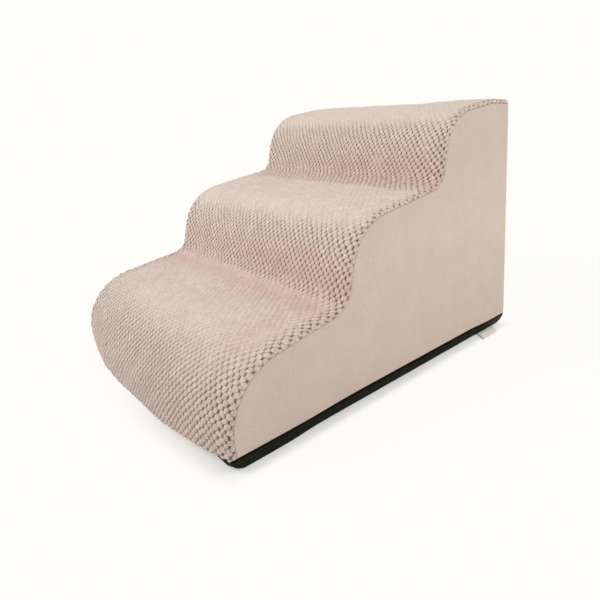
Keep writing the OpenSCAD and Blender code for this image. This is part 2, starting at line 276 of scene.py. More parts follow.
class Graph:
    """Adds nodes to one node tree and joins them."""

    def __init__(self, tree: bpy.types.NodeTree) -> None:
        """Work on the given node tree."""
        self.tree = tree

    def feed(self, socket: Socket, source: Source) -> None:
        """Set a socket to a plain value, or link another socket to it."""
        if isinstance(source, Socket):
            self.tree.links.new(source, socket)
        else:
            socket.default_value = source

    def node(self, kind: str, settings: dict | None = None, **inputs: Source) -> Node:
        """Add a node.

        Args:
            kind: Type of the node.
            settings: Properties to set on it.
            **inputs: Sources by input name, where an underscore stands for a space.

        Returns:
            The node.
        """
        made = self.tree.nodes.new(kind)
        for name, value in (settings or {}).items():
            setattr(made, name, value)
        for name, source in inputs.items():
            self.feed(made.inputs[name.replace("_", " ")], source)
        return made

    def fill(self, made: Node, terms: Sequence[Source]) -> Node:
        """Feed a node's first inputs in their order and return the node."""
        for socket, term in zip(made.inputs, terms):
            self.feed(socket, term)
        return made

    def calc(self, operation: str, *terms: Source, clamp: bool = False) -> Socket:
        """Work out one step of arithmetic and return its result."""
        settings = {"operation": operation, "use_clamp": clamp}
        return self.fill(self.node("ShaderNodeMath", settings), terms).outputs[0]

    def times(self, first: Source, second: Source) -> Socket:
        """Return the product of two values."""
        return self.calc("MULTIPLY", first, second)

    def vector(self, operation: str, *terms: Source) -> Socket:
        """Work out one step of vector arithmetic and return its result."""
        made = self.fill(self.node("ShaderNodeVectorMath", {"operation": operation}), terms)
        return made.outputs["Value" if operation == "LENGTH" else "Vector"]

    def split(self, place: Source) -> bpy.types.bpy_prop_collection:
        """Take a place apart and return its X, Y and Z."""
        return self.node("ShaderNodeSeparateXYZ", Vector=place).outputs

    def blend(self, share: Source, first: Source, second: Source, kind: str = "MIX") -> Socket:
        """Mix two colours and return the result."""
        made = self.node("ShaderNodeMix", {"data_type": "RGBA", "blend_type": kind})
        for index, source in ((0, share), (6, first), (7, second)):
            self.feed(made.inputs[index], source)
        return made.outputs[2]

    def tint(self, colour: Source, by: Source) -> Socket:
        """Multiply a colour by another colour or value."""
        return self.blend(1.0, colour, by, "MULTIPLY")

    def spread(
        self, value: Source, low: float, high: float, start: Source = 0.0, end: Source = 1.0
    ) -> Socket:
        """Map a value from low..high smoothly to start..end."""
        made = self.node("ShaderNodeMapRange", {"interpolation_type": "SMOOTHSTEP"})
        names = ("Value", "From Min", "From Max", "To Min", "To Max")
        for name, source in zip(names, (value, low, high, start, end)):
            self.feed(made.inputs[name], source)
        return made.outputs[0]

    def noise(
        self, place: Source, scale: Source, detail: float = 2.0, roughness: float = 0.5
    ) -> Socket:
        """Add a noise texture and return its value."""
        made = self.node("ShaderNodeTexNoise", Scale=scale, Detail=detail, Roughness=roughness)
        self.feed(made.inputs["Vector"], place)
        return made.outputs["Fac"]

    def mix(self, share: Source, first: Socket, second: Socket) -> Socket:
        """Mix two shaders and return the result."""
        return self.fill(self.node("ShaderNodeMixShader"), (share, first, second)).outputs[0]

    def seen(self) -> Socket:
        """Return 1 for rays from the camera, mirrors and glass, and 0 for plain light."""
        rays = self.node("ShaderNodeLightPath").outputs
        mirrored = self.calc("MAXIMUM", rays["Is Glossy Ray"], rays["Is Transmission Ray"])
        return self.calc("MAXIMUM", rays["Is Camera Ray"], mirrored)


class Effect:
    """A shader group with named inputs and outputs, built once and used by several finishes."""

    def __init__(
        self, name: str, inputs: dict[str, tuple[str, object]], outputs: dict[str, str]
    ) -> None:
        """Make an empty group.

        Args:
            name: Name of the group.
            inputs: Socket type and default value by input name.
            outputs: Socket type by output name.
        """
        self.tree = bpy.data.node_groups.new(name, "ShaderNodeTree")
        for label, (kind, value) in inputs.items():
            socket = self.tree.interface.new_socket(name=label, in_out="INPUT", socket_type=kind)
            if value is not None:
                socket.default_value = value
        for label, kind in outputs.items():
            self.tree.interface.new_socket(name=label, in_out="OUTPUT", socket_type=kind)
        self.graph = Graph(self.tree)
        self.start = self.tree.nodes.new("NodeGroupInput").outputs
        self.end = self.tree.nodes.new("NodeGroupOutput").inputs

    def use(self, graph: Graph, **inputs: Source) -> Node:
        """Place the group in a material and return its node."""
        return graph.node("ShaderNodeGroup", {"node_tree": self.tree}, **inputs)


FLOAT = "NodeSocketFloat"
VECTOR = "NodeSocketVector"
COLOUR = "NodeSocketColor"


class Effects:
    """The shader groups that the finishes share."""

    def __init__(self) -> None:
        """Build every group."""
        self.drift = self._drift()
        self.fibre = self._fibre()
        self.weave = self._weave()
        self.bubbles = self._bubbles(Bubbles())

    def pile(self, coat: "Coat", scale: float, lie: float) -> bpy.types.bpy_prop_collection:
        """Lay fine fibres over a material and return their height and shade."""
        return self.fibre.use(coat.graph, Place=coat.place, Scale=scale, Lie=lie).outputs

    def tone(self, coat: "Coat", scale: float, base: Colour, warm: Colour, cool: Colour) -> Socket:
        """Let a material's colour drift between its tints and return it."""
        made = self.drift.use(
            coat.graph, Place=coat.place, Scale=scale, Base=base, Warm=warm, Cool=cool
        )
        return made.outputs["Colour"]

    @staticmethod
    def _bubbles(shape: "Bubbles") -> Effect:
        """Build the bubbles' relief and painted shade in creases and holes, from cloth-map counts.
        """
        effect = Effect(
            "plush_bubbles",
            {"Place": (VECTOR, None), "Merge": (FLOAT, 0.0)},
            {"Height": FLOAT, "CreaseShade": FLOAT, "HoleShade": FLOAT},
        )
        g, merge = effect.graph, effect.start["Merge"]
        size = (shape.pitch / shape.half_width, 2 * shape.row / shape.half_length, 0.0)
        halved = g.vector("MULTIPLY", effect.start["Place"], (1.0, 0.5, 0.0))
        own, other = shape.merged
        straight = g.calc("ADD", 1.0, g.times(merge, own))
        swapped = g.times(merge, other)
        reach = []
        for shift in (0.5, 0.0):
            part = g.vector("FRACTION", g.vector("ADD", halved, (shift, shift, 0.0)))
            axes = g.split(g.vector("SUBTRACT", part, (0.5, 0.5, 0.0)))
            x, y = (
                g.calc("ADD", g.times(axes[a], straight), g.times(axes[b], swapped))
                for a, b in ("XY", "YX")
            )
            leaned = g.node("ShaderNodeCombineXYZ", X=x, Y=y).outputs[0]
            reach.append(g.vector("LENGTH", g.vector("MULTIPLY", leaned, size)))
        near = g.calc("MINIMUM", *reach)
        rounded = g.calc("SUBTRACT", 1.0, g.times(near, near), clamp=True)
        g.feed(effect.end["Height"], g.calc("SQRT", rounded))
        g.feed(effect.end["CreaseShade"], g.spread(near, *shape.crease_shade))
        g.feed(effect.end["HoleShade"], g.spread(near, *shape.hole))
        return effect

    @staticmethod
    def _drift() -> Effect:
        """Build the slow drift of a cloth's colour between two tints."""
        effect = Effect(
            "tone_drift",
            {
                "Place": (VECTOR, None),
                "Scale": (FLOAT, 6.0),
                "Base": (COLOUR, (1, 1, 1, 1)),
                "Warm": (COLOUR, (1, 1, 1, 1)),
                "Cool": (COLOUR, (1, 1, 1, 1)),
            },
            {"Colour": COLOUR},
        )
        g, start = effect.graph, effect.start
        slow = g.noise(start["Place"], start["Scale"], 1.5)
        other = g.noise(start["Place"], g.times(start["Scale"], 1.7), 2.5, 0.6)
        warm = g.blend(g.spread(slow, 0.48, 0.68), start["Base"], start["Warm"])
        g.feed(effect.end["Colour"], g.blend(g.spread(other, 0.5, 0.72), warm, start["Cool"]))
        return effect

    @staticmethod
    def _fibre() -> Effect:
        """Build the fine fibres of a pile, stretched along the way that it lies."""
        effect = Effect(
            "pile_fibres",
            {"Place": (VECTOR, None), "Scale": (FLOAT, 900.0), "Lie": (FLOAT, 0.4)},
            {"Height": FLOAT, "Shade": FLOAT},
        )
        g, start = effect.graph, effect.start
        split = g.split(start["Place"])
        stretched = g.times(split["Y"], start["Lie"])
        lying = g.node("ShaderNodeCombineXYZ", X=split["X"], Y=stretched, Z=split["Z"]).outputs[0]
        fine = g.noise(lying, start["Scale"], 3.0, 0.65)
        clump = g.noise(lying, g.times(start["Scale"], 0.3), 2.0)
        g.feed(effect.end["Height"], g.calc("ADD", g.times(fine, 0.6), g.times(clump, 0.4)))
        g.feed(effect.end["Shade"], g.spread(clump, 0.3, 0.7, 0.93, 1.05))
        return effect

    @staticmethod
    def _weave() -> Effect:
        """Build a plain weave: threads that pass over and under each other."""
        effect = Effect(
            "plain_weave",
            {"Place": (VECTOR, None), "Pitch": (FLOAT, 0.0008)},
            {"Height": FLOAT, "Gap": FLOAT},
        )
        g, start = effect.graph, effect.start
        split = g.split(start["Place"])
        turns = [g.times(g.calc("DIVIDE", split[axis], start["Pitch"]), math.pi) for axis in "XY"]
        waves = [g.calc("SINE", turn) for turn in turns]
        bodies = [g.calc("ABSOLUTE", wave) for wave in waves]
        over = g.calc("ADD", g.times(g.times(*waves), 0.5), 0.5)
        first = g.times(bodies[0], over)
        second = g.times(bodies[1], g.calc("SUBTRACT", 1.0, over))
        height = g.calc("MAXIMUM", first, second)
        g.feed(effect.end["Height"], height)
        g.feed(effect.end["Gap"], g.spread(height, 0.1, 0.45, 1.0, 0.0))
        return effect


class Coat:
    """A material under construction: its graph, its shader and its coordinates."""

    def __init__(self, name: str) -> None:
        """Make a material with a principled shader."""
        self.material = bpy.data.materials.new(name)
        self.material.use_nodes = True
        self.graph = Graph(self.material.node_tree)
        self.shader = self.material.node_tree.nodes["Principled BSDF"]
        self.place = self.graph.node("ShaderNodeTexCoord").outputs["Object"]

    def cloth(self) -> Socket:
        """Return the coordinates of the piece's own cloth map."""
        return self.graph.node("ShaderNodeUVMap", {"uv_map": CLOTH_MAP}).outputs[0]

    def value(self, name: str) -> Socket:
        """Return a value kept on the piece's points."""
        return self.graph.node("ShaderNodeAttribute", {"attribute_name": name}).outputs["Fac"]

    def set(self, **inputs: Source) -> None:
        """Set or link the shader's sockets, where an underscore stands for a space."""
        for name, source in inputs.items():
            self.graph.feed(self.shader.inputs[name.replace("_", " ")], source)

    def relief(self, height: Socket, distance: float, strength: float = 1.0) -> None:
        """Raise the surface by a height that varies over it."""
        settings = {"Strength": strength, "Distance": distance, "Height": height}
        self.set(Normal=self.graph.node("ShaderNodeBump", **settings).outputs["Normal"])


class Finish(ABC):
    """The look of one kind of surface: a recipe for its material.

    In the fields, a ramp turns the range from its first number to its second smoothly into the
    range from its third to its fourth, and a zone is the first half of one. A grain is a noise's
    scale, detail and roughness, and a pile has a scale and a lie.
    """

    name: str

    def make(self, effects: Effects) -> Material:
        """Build the material."""
        coat = Coat(self.name)
        self.paint(coat, coat.graph, effects)
        return coat.material

    @abstractmethod
    def paint(self, coat: Coat, g: Graph, effects: Effects) -> None:
        """Add the finish's own nodes and set its shader."""


@dataclass(frozen=True)
class PlushFinish(Finish):
    """Cream bubble plush: pale caps, painted shade in the holes between them, pink in the folds."""

    name: str = "bubble_plush_cream"
    base: Colour = srgb(220, 204, 192)
    warm: Colour = srgb(221, 201, 189)
    cool: Colour = srgb(215, 203, 188)
    blush: Colour = srgb(218, 189, 178)
    # Painted shade: colours laid into the creases and the holes between the bubbles.
    crease_shade: Colour = srgb(156, 137, 123)
    hole: Colour = srgb(70, 52, 40)
    sheen: Colour = srgb(240, 226, 216)
    # Painted shade: the tint that darkens the caps towards the floor.
    foot: Colour = (0.845, 0.815, 0.822, 1.0)
    drift_scale: float = 9.0
    pile: Span = (1300.0, 0.8)
    tuft_grain: Triple = (520.0, 3.0, 0.7)
    tuft_zone: Span = (0.34, 0.66)
    dull_ramp: Ramp = (0.3, 0.9, 0.88, 0.79)
    bright_ramp: Ramp = (0.3, 0.9, 1.05, 1.10)
    patch_grain: Triple = (95.0, 2.0, 0.6)
    patch_zone: Span = (0.35, 0.65)
    patch_least: float = 0.95
    # Painted shade: the top tread is kept a little darker; the caps darken towards the floor.
    top_shade_ramp: Ramp = (0.30, 0.34, 1.04, 1.0)
    foot_shade_ramp: Ramp = (0.030, 0.135, 1.0, 0.0)
    # Painted shade: ramps of the shade in the creases, the holes and the rims by the seams.
    crease_shade_ramp: Ramp = (0.0, 1.2, 0.0, 0.92)
    hole_shade_zone: Span = (0.12, 1.3)
    rim_shade_ramp: Ramp = (1.0, 1.3, 0.0, 0.28)
    pile_share: float = 0.5
    tuft_share: float = 0.9

    def paint(self, coat: Coat, g: Graph, effects: Effects) -> None:
        """Colour the caps; paint shade in the creases and holes as far as the bubbles stand out."""
        strength, tuft = coat.value("bubble"), g.noise(coat.place, *self.tuft_grain)
        bubble = effects.bubbles.use(g, Place=coat.cloth(), Merge=coat.value("merge")).outputs
        fibre = effects.pile(coat, *self.pile)
        shaded = g.tint(self._caps(coat, g, effects, strength, tuft), fibre["Shade"])
        # Painted shade in the creases and holes, deeper as the bubbles stand out, with dark rims by
        # the seams.
        crease_shade_mask = g.times(bubble["CreaseShade"], g.spread(strength, *self.crease_shade_ramp))
        hole_shade_mask = g.times(bubble["HoleShade"], g.spread(strength, *self.hole_shade_zone))
        rim = g.times(bubble["CreaseShade"], g.spread(strength, *self.rim_shade_ramp))
        caps_with_crease_shade = g.blend(crease_shade_mask, shaded, self.crease_shade)
        coat.set(Base_Color=g.blend(g.calc("MAXIMUM", hole_shade_mask, rim), caps_with_crease_shade, self.hole), Roughness=0.95)
        coat.set(Sheen_Weight=0.12, Sheen_Roughness=0.55, Sheen_Tint=self.sheen)
        coat.set(Specular_IOR_Level=0.15)
        lying, standing = g.times(fibre["Height"], self.pile_share), g.times(tuft, self.tuft_share)
        pile = g.calc("ADD", lying, standing)
        raised = g.calc("ADD", g.times(bubble["Height"], strength), pile)
        coat.relief(raised, distance=0.0009, strength=0.75)

    def _caps(
        self, coat: Coat, g: Graph, effects: Effects, strength: Source, tuft: Source
    ) -> Socket:
        """Work out the caps' colour: drifting cream, pink folds, tufts, painted shade at foot and
        top.

        Args:
            coat: The material under construction.
            g: Its graph.
            effects: The shared effects.
            strength: How far the bubbles stand out.
            tuft: The noise of the tufts.

        Returns:
            The colour.
        """
        drift = effects.tone(coat, self.drift_scale, self.base, self.warm, self.cool)
        pink = g.blend(coat.value("blush"), drift, self.blush)
        dull, bright = g.spread(strength, *self.dull_ramp), g.spread(strength, *self.bright_ramp)
        tufts = g.spread(tuft, *self.tuft_zone, dull, bright)
        high = g.split(coat.place)["Z"]
        # Painted shade: the patches may brighten the steps below the top tread more than the top
        # tread.
        patches, most = g.noise(coat.place, *self.patch_grain), g.spread(high, *self.top_shade_ramp)
        mottle_and_top_shade = g.spread(patches, *self.patch_zone, self.patch_least, most)
        # Painted shade towards the floor.
        low = g.spread(high, *self.foot_shade_ramp)
        foot_shaded = g.blend(low, pink, g.tint(pink, self.foot))
        return g.tint(foot_shaded, g.times(tufts, mottle_and_top_shade))


@dataclass(frozen=True)
class VelvetFinish(Finish):
    """Smooth short velvet whose nap drifts between beige and rose."""

    name: str = "velvet_beige"
    base: Colour = srgb(208, 191, 178)
    warm: Colour = srgb(211, 191, 178)
    cool: Colour = srgb(207, 192, 177)
    # Painted shade: the darker colour that the nap takes towards the foot.
    low: Colour = srgb(201, 184, 171)
    sheen: Colour = srgb(240, 226, 214)
    drift_scale: float = 7.0
    pile: Span = (2200.0, 0.7)
    foot_shade_ramp: Ramp = (0.02, 0.2, 0.55, 0.0)
    # Painted shade: darker towards the front and towards the top.
    front_shade_ramp: Ramp = (-0.24, 0.02, 0.945, 1.008)
    high_shade_ramp: Ramp = (0.18, 0.3, 1.0, 0.95)
    brush_grain: Triple = (38.0, 3.0, 0.55)
    brush_ramp: Ramp = (0.3, 0.7, 0.975, 1.02)

    def paint(self, coat: Coat, g: Graph, effects: Effects) -> None:
        """Brush the nap, and paint a little shade on it towards the foot, the front and the top."""
        drift = effects.tone(coat, self.drift_scale, self.base, self.warm, self.cool)
        fibre, split = effects.pile(coat, *self.pile), g.split(coat.place)
        # Painted shade: darker towards the foot, the front and the top, over the brushed nap.
        toned = g.blend(g.spread(split["Z"], *self.foot_shade_ramp), drift, self.low)
        front_shade = g.spread(split["Y"], *self.front_shade_ramp)
        lie = g.times(front_shade, g.spread(split["Z"], *self.high_shade_ramp))
        brushed = g.spread(g.noise(coat.place, *self.brush_grain), *self.brush_ramp)
        nap = g.tint(toned, g.times(brushed, lie))
        coat.set(Base_Color=g.tint(nap, fibre["Shade"]), Roughness=0.88, Specular_IOR_Level=0.18)
        coat.set(Sheen_Weight=0.3, Sheen_Roughness=0.45, Sheen_Tint=self.sheen)
        coat.relief(fibre["Height"], distance=0.0003, strength=0.4)


@dataclass(frozen=True)
class BandFinish(Finish):
    """Black woven band cloth, a little dusty and browner towards the back."""

    name: str = "black_band_cloth"
    thread: Colour = srgb(30, 31, 25)
    gap: Colour = srgb(17, 17, 14)
    dust: Colour = srgb(80, 68, 59)
    # Painted shadow: the velvet's lower edge shades the band's top.
    seam_shadow: Colour = srgb(4, 4, 3)
    pitch: float = 0.0009
    lint_grain: Triple = (60.0, 4.0, 0.7)
    lint_ramp: Ramp = (0.52, 0.8, 0.0, 0.3)
    back_ramp: Ramp = (0.17, 0.255, 0.0, 0.85)
    seam_shadow_ramp: Ramp = (0.0118, 0.0136, 0.0, 0.85)

    def paint(self, coat: Coat, g: Graph, effects: Effects) -> None:
        """Weave the cloth, dust it, and paint the shadow under the velvet's seam along its top."""
        weave = effects.weave.use(g, Place=coat.cloth(), Pitch=self.pitch).outputs
        split = g.split(coat.place)
        lint = g.spread(g.noise(coat.place, *self.lint_grain), *self.lint_ramp)
        back = g.spread(split["Y"], *self.back_ramp)
        dusty = g.blend(g.calc("ADD", lint, back, clamp=True), self.thread, self.dust)
        woven = g.blend(weave["Gap"], dusty, self.gap)
        # Painted shadow along the band's top, under the velvet's edge.
        seam = g.spread(split["Z"], *self.seam_shadow_ramp)
        coat.set(Base_Color=g.blend(seam, woven, self.seam_shadow), Roughness=0.85)
        coat.set(Specular_IOR_Level=0.08)
        coat.relief(weave["Height"], distance=self.pitch / 3, strength=0.6)


@dataclass(frozen=True)
class ClothFinish(Finish):
    """Plain woven cloth with a soft or satin face."""

    name: str
    thread: Colour
    gap: Colour
    pitch: float
    roughness: float = 0.8
    sheen: float = 0.1
    mapped: bool = False
    tone_grain: Triple = (45.0, 3.0, 0.5)
    tone_ramp: Ramp = (0.35, 0.7, 0.0, 0.25)
    gap_share: float = 0.6

    def paint(self, coat: Coat, g: Graph, effects: Effects) -> None:
        """Weave the cloth with a slow change of tone."""
        place = coat.cloth() if self.mapped else coat.place
        weave = effects.weave.use(g, Place=place, Pitch=self.pitch).outputs
        tone = g.spread(g.noise(coat.place, *self.tone_grain), *self.tone_ramp)
        toned = g.blend(tone, self.thread, self.gap)
        coat.set(Base_Color=g.blend(g.times(weave["Gap"], self.gap_share), toned, self.gap))
        coat.set(Roughness=self.roughness, Sheen_Weight=self.sheen, Specular_IOR_Level=0.3)
        coat.relief(weave["Height"], distance=self.pitch / 3, strength=0.5)


@dataclass(frozen=True)
class RubberFinish(Finish):
    """Matt rubber of the grip dots."""

    name: str = "grip_rubber_grey"
    body: Colour = srgb(52, 53, 50)
    worn: Colour = srgb(78, 76, 72)
    pile: Span = (500.0, 1.0)
    scuff_grain: Triple = (90.0, 4.0, 0.7)
    scuff_zone: Span = (0.5, 0.75)
    roughness_ramp: Ramp = (0.0, 1.0, 0.7, 0.9)

    def paint(self, coat: Coat, g: Graph, effects: Effects) -> None:
        """Scuff the rubber."""
        fibre = effects.pile(coat, *self.pile)
        scuff = g.spread(g.noise(coat.place, *self.scuff_grain), *self.scuff_zone)
        coat.set(Base_Color=g.blend(scuff, self.body, self.worn), Specular_IOR_Level=0.3)
        coat.set(Roughness=g.spread(scuff, *self.roughness_ramp))
        coat.relief(fibre["Height"], distance=0.0002, strength=0.3)


@dataclass(frozen=True)
class FoamFinish(Finish):
    """Open-cell foam with small pores."""

    name: str
    body: Colour
    pore: Colour
    cell_scale: float = 700.0
    drift_scale: float = 20.0
    depth_zone: Span = (0.02, 0.3)
    depth_share: float = 0.35

    def paint(self, coat: Coat, g: Graph, effects: Effects) -> None:
        """Open the pores."""
        settings = {"feature": "DISTANCE_TO_EDGE"}
        cells = g.node("ShaderNodeTexVoronoi", settings, Vector=coat.place, Scale=self.cell_scale)
        tone = effects.tone(coat, self.drift_scale, self.body, self.body, self.pore)
        depth = g.spread(cells.outputs["Distance"], *self.depth_zone)
        coat.set(Base_Color=g.blend(g.times(depth, self.depth_share), tone, self.pore))
        coat.set(Roughness=0.95, Specular_IOR_Level=0.1)
        coat.relief(depth, distance=0.0006, strength=-0.6)


@dataclass(frozen=True)
class TeethFinish(Finish):
    """Nylon teeth of the zip."""

    name: str = "zip_teeth_nylon"
    body: Colour = srgb(176, 158, 140)
    worn: Colour = srgb(196, 180, 163)
    wear_grain: Triple = (400.0, 3.0, 0.5)
    wear_zone: Span = (0.4, 0.7)
    roughness_ramp: Ramp = (0.3, 0.7, 0.34, 0.5)

    def paint(self, coat: Coat, g: Graph, effects: Effects) -> None:
        """Rub the teeth bright here and there."""
        wear = g.noise(coat.place, *self.wear_grain)
        coat.set(Base_Color=g.blend(g.spread(wear, *self.wear_zone), self.body, self.worn))
        coat.set(Roughness=g.spread(wear, *self.roughness_ramp), Specular_IOR_Level=0.5)
        coat.relief(wear, distance=0.0002, strength=0.2)


@dataclass(frozen=True)
class MetalFinish(Finish):
    """Brushed nickel of the slider, the pull and the stops."""

    name: str = "zip_metal_nickel"
    body: Colour = srgb(190, 184, 176)
    worn: Colour = srgb(142, 134, 124)
    pile: Span = (1500.0, 0.08)
    tarnish_grain: Triple = (160.0, 4.0, 0.6)
    tarnish_zone: Span = (0.45, 0.75)
    roughness_ramp: Ramp = (0.0, 1.0, 0.3, 0.46)

    def paint(self, coat: Coat, g: Graph, effects: Effects) -> None:
        """Brush the metal and tarnish it."""
        brush = effects.pile(coat, *self.pile)
        tarnish = g.spread(g.noise(coat.place, *self.tarnish_grain), *self.tarnish_zone)
        coat.set(Base_Color=g.blend(tarnish, self.body, self.worn), Metallic=1.0)
        coat.set(Roughness=g.spread(tarnish, *self.roughness_ramp))
        coat.relief(brush["Height"], distance=0.0001, strength=0.15)


class Look(Enum):
    """The surfaces of the stairs, each with its finish."""

    PLUSH = PlushFinish()
    VELVET = VelvetFinish()
    BAND = BandFinish()
    BASE = ClothFinish("base_cloth_black", srgb(36, 37, 34), srgb(16, 17, 15), 0.0012, 0.85)
    LINER = ClothFinish("liner_white", srgb(244, 243, 238), srgb(205, 203, 196), 0.0009)
    LABEL = ClothFinish(
        "label_satin", srgb(255, 252, 244), srgb(250, 243, 230), 0.0005, 0.55, 0.2, mapped=True
    )
    CARE = ClothFinish("care_label_white", srgb(245, 244, 238), srgb(214, 212, 204), 0.0005, 0.6)
    TAPE = ClothFinish("zip_tape_beige", srgb(190, 172, 156), srgb(148, 130, 114), 0.0007)
    THREAD = ClothFinish("stitch_thread", srgb(200, 182, 166), srgb(160, 142, 126), 0.0004, 0.6)
    RUBBER = RubberFinish()
    CORE = FoamFinish("core_foam_cream", srgb(236, 226, 198), srgb(206, 190, 152))
    SOFT = FoamFinish("soft_foam_white", srgb(245, 240, 226), srgb(220, 210, 186))
    TEETH = TeethFinish()
    METAL = MetalFinish()


Looks = dict[Look, Material]

NODE_LOOKS = {
    "core_lower": Look.CORE,
    "core_middle": Look.CORE,
    "core_upper": Look.CORE,
    "comfort_foam": Look.SOFT,
    "inner_liner": Look.LINER,
    "base_panel": Look.BASE,
    "grip_dots": Look.RUBBER,
    "care_label": Look.CARE,
    "zipper_tape_upper": Look.TAPE,
    "zipper_tape_lower": Look.TAPE,
    "zipper_coil_upper": Look.TEETH,
    "zipper_coil_lower": Look.TEETH,
    "zipper_stops": Look.METAL,
    "zipper_slider": Look.METAL,
    "pull_tab": Look.METAL,
}


# ---- The stairs' outline -------------------------------------------------------------------


def crossing(p: Array, u: Array, q: Array, v: Array) -> Array:
    """Return the point where the line through p along u meets the line through q along v."""
    w = q - p
    return p + u * (w[0] * v[1] - w[1] * v[0]) / (u[0] * v[1] - u[1] * v[0])


@dataclass(frozen=True)
class Outline:
    """The stepped outline of the stairs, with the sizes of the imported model."""

    length: float = 0.500
    width: float = 0.400
    first_rise: float = 0.096
    step_rise: float = 0.120
    step_run: float = 0.176
    tread_slope: float = 10.2
    riser_lean: float = 11.0
    front_lean: float = 6.0
    nose_r: float = 0.073
    valley_r: float = 0.023
    crest: float = 0.047
    steps: int = 3
    crown: float = 0.018
    foot: float = 0.0143
    seam_lift: float = 0.0021
    lift_start: Span = (-0.170, -0.080)
    lift_end: Span = (0.150, 0.205)

    @property
    def half(self) -> float:
        """Half the width."""
        return self.width / 2

    @property
    def back(self) -> float:
        """Place of the back along Y."""
        return self.length / 2

    def edge(self, step: int) -> Array:
        """Return the sharp corner of one step, before rounding."""
        lean, slope = math.radians(self.front_lean), math.radians(self.tread_slope)
        reach = 1 - (math.cos(lean) + math.sin(slope)) / (1 + math.sin(slope - lean))
        start = -self.length / 2 + self.nose_r * reach
        return np.array([start + step * self.step_run, self.first_rise + step * self.step_rise])

    def front_at(self, height: Array | float) -> Array | float:
        """Return the place along Y of the straight front line at a height."""
        drop = self.first_rise - height
        return self.edge(0)[0] + drop * math.tan(math.radians(self.front_lean))

    def foot_lift(self, along: Array) -> Array:
        """Return how far the sewn seam over the band rises along a side."""
        return self.seam_lift * ease(*self.lift_start, along) * (1 - ease(*self.lift_end, along))

    def sides(self) -> tuple[list[float], list[Array]]:
        """List the straight sides: their headings in degrees, and a point on each one."""
        headings, points = [90 + self.front_lean], [self.edge(0)]
        for step in range(self.steps):
            if step:
                headings.append(90 - self.riser_lean)
                points.append(self.edge(step))
            headings.append(self.tread_slope)
            points.append(self.edge(step))
        start = self.back - self.crest
        rise = (start - points[-1][0]) * math.tan(math.radians(self.tread_slope))
        return [*headings, 0.0], [*points, np.array([start, points[-1][1] + rise])]

    def line(self, depth: float, foot: float, back: float, arc: float) -> Array:
        """Trace the outline at one depth.

        Args:
            depth: How far inside the outer face.
            foot: Height at which the front starts.
            back: Place along Y at which the top ends.
            arc: Length of the pieces along the rounded corners.

        Returns:
            Rows of y, z and the outward direction's y and z.
        """
        headings, points = self.sides()
        turns = [math.radians(heading) for heading in headings]
        ways = [np.array([math.cos(turn), math.sin(turn)]) for turn in turns]
        outs = [np.array([-way[1], way[0]]) for way in ways]
        starts = [point - depth * out for point, out in zip(points, outs)]
        level, upright = np.eye(2)
        rows = [[*crossing(foot * upright, level, starts[0], ways[0]), *outs[0]]]
        for k in range(1, len(turns)):
            a, b = turns[k - 1], turns[k]
            side, radius = (1, self.nose_r - depth) if a > b else (-1, self.valley_r + depth)
            corner = crossing(starts[k - 1], ways[k - 1], starts[k], ways[k])
            tangent = corner - radius * math.tan(abs(a - b) / 2) * ways[k - 1]
            centre = tangent - side * radius * outs[k - 1]
            count = max(4, round(radius * abs(a - b) / arc))
            for angle in np.linspace(a, b, count + 1):
                out = np.array([-math.sin(angle), math.cos(angle)])
                rows.append([*(centre + side * radius * out), *out])
        rows.append([*crossing(starts[-1], ways[-1], back * level, upright), *outs[-1]])
        return np.array(rows)

    def crown_at(self, across: Array) -> Array:
        """Return the bulge of the front at a place across the width."""
        return self.crown * (1 - (across / self.half) ** 2)

    def crown_fade(self, height: Array) -> Array:
        """Return the share of the bulge that is left at a height."""
        return np.cos(np.clip(height / self.first_rise, -0.2, 1) * math.pi / 2) ** 2


OUTLINE = Outline()


def even_steps(line: Array, places: Array) -> Array:
    """Read a traced line at given lengths along it.

    Args:
        line: Rows of y, z and the outward direction.
        places: Lengths along the line, of any shape.

    Returns:
        The same four values at each place, in a last axis.
    """
    gone = lengths_along(line[:, :2])
    values = np.stack([np.interp(places, gone, line[:, k]) for k in range(4)], -1)
    beyond = (places - np.clip(places, 0, gone[-1]))[..., None]
    way = np.stack([values[..., 3], -values[..., 2]], -1)
    values[..., :2] += beyond * way
    values[..., 2:] /= np.linalg.norm(values[..., 2:], axis=-1, keepdims=True)
    return values


# ---- The bubble plush ----------------------------------------------------------------------


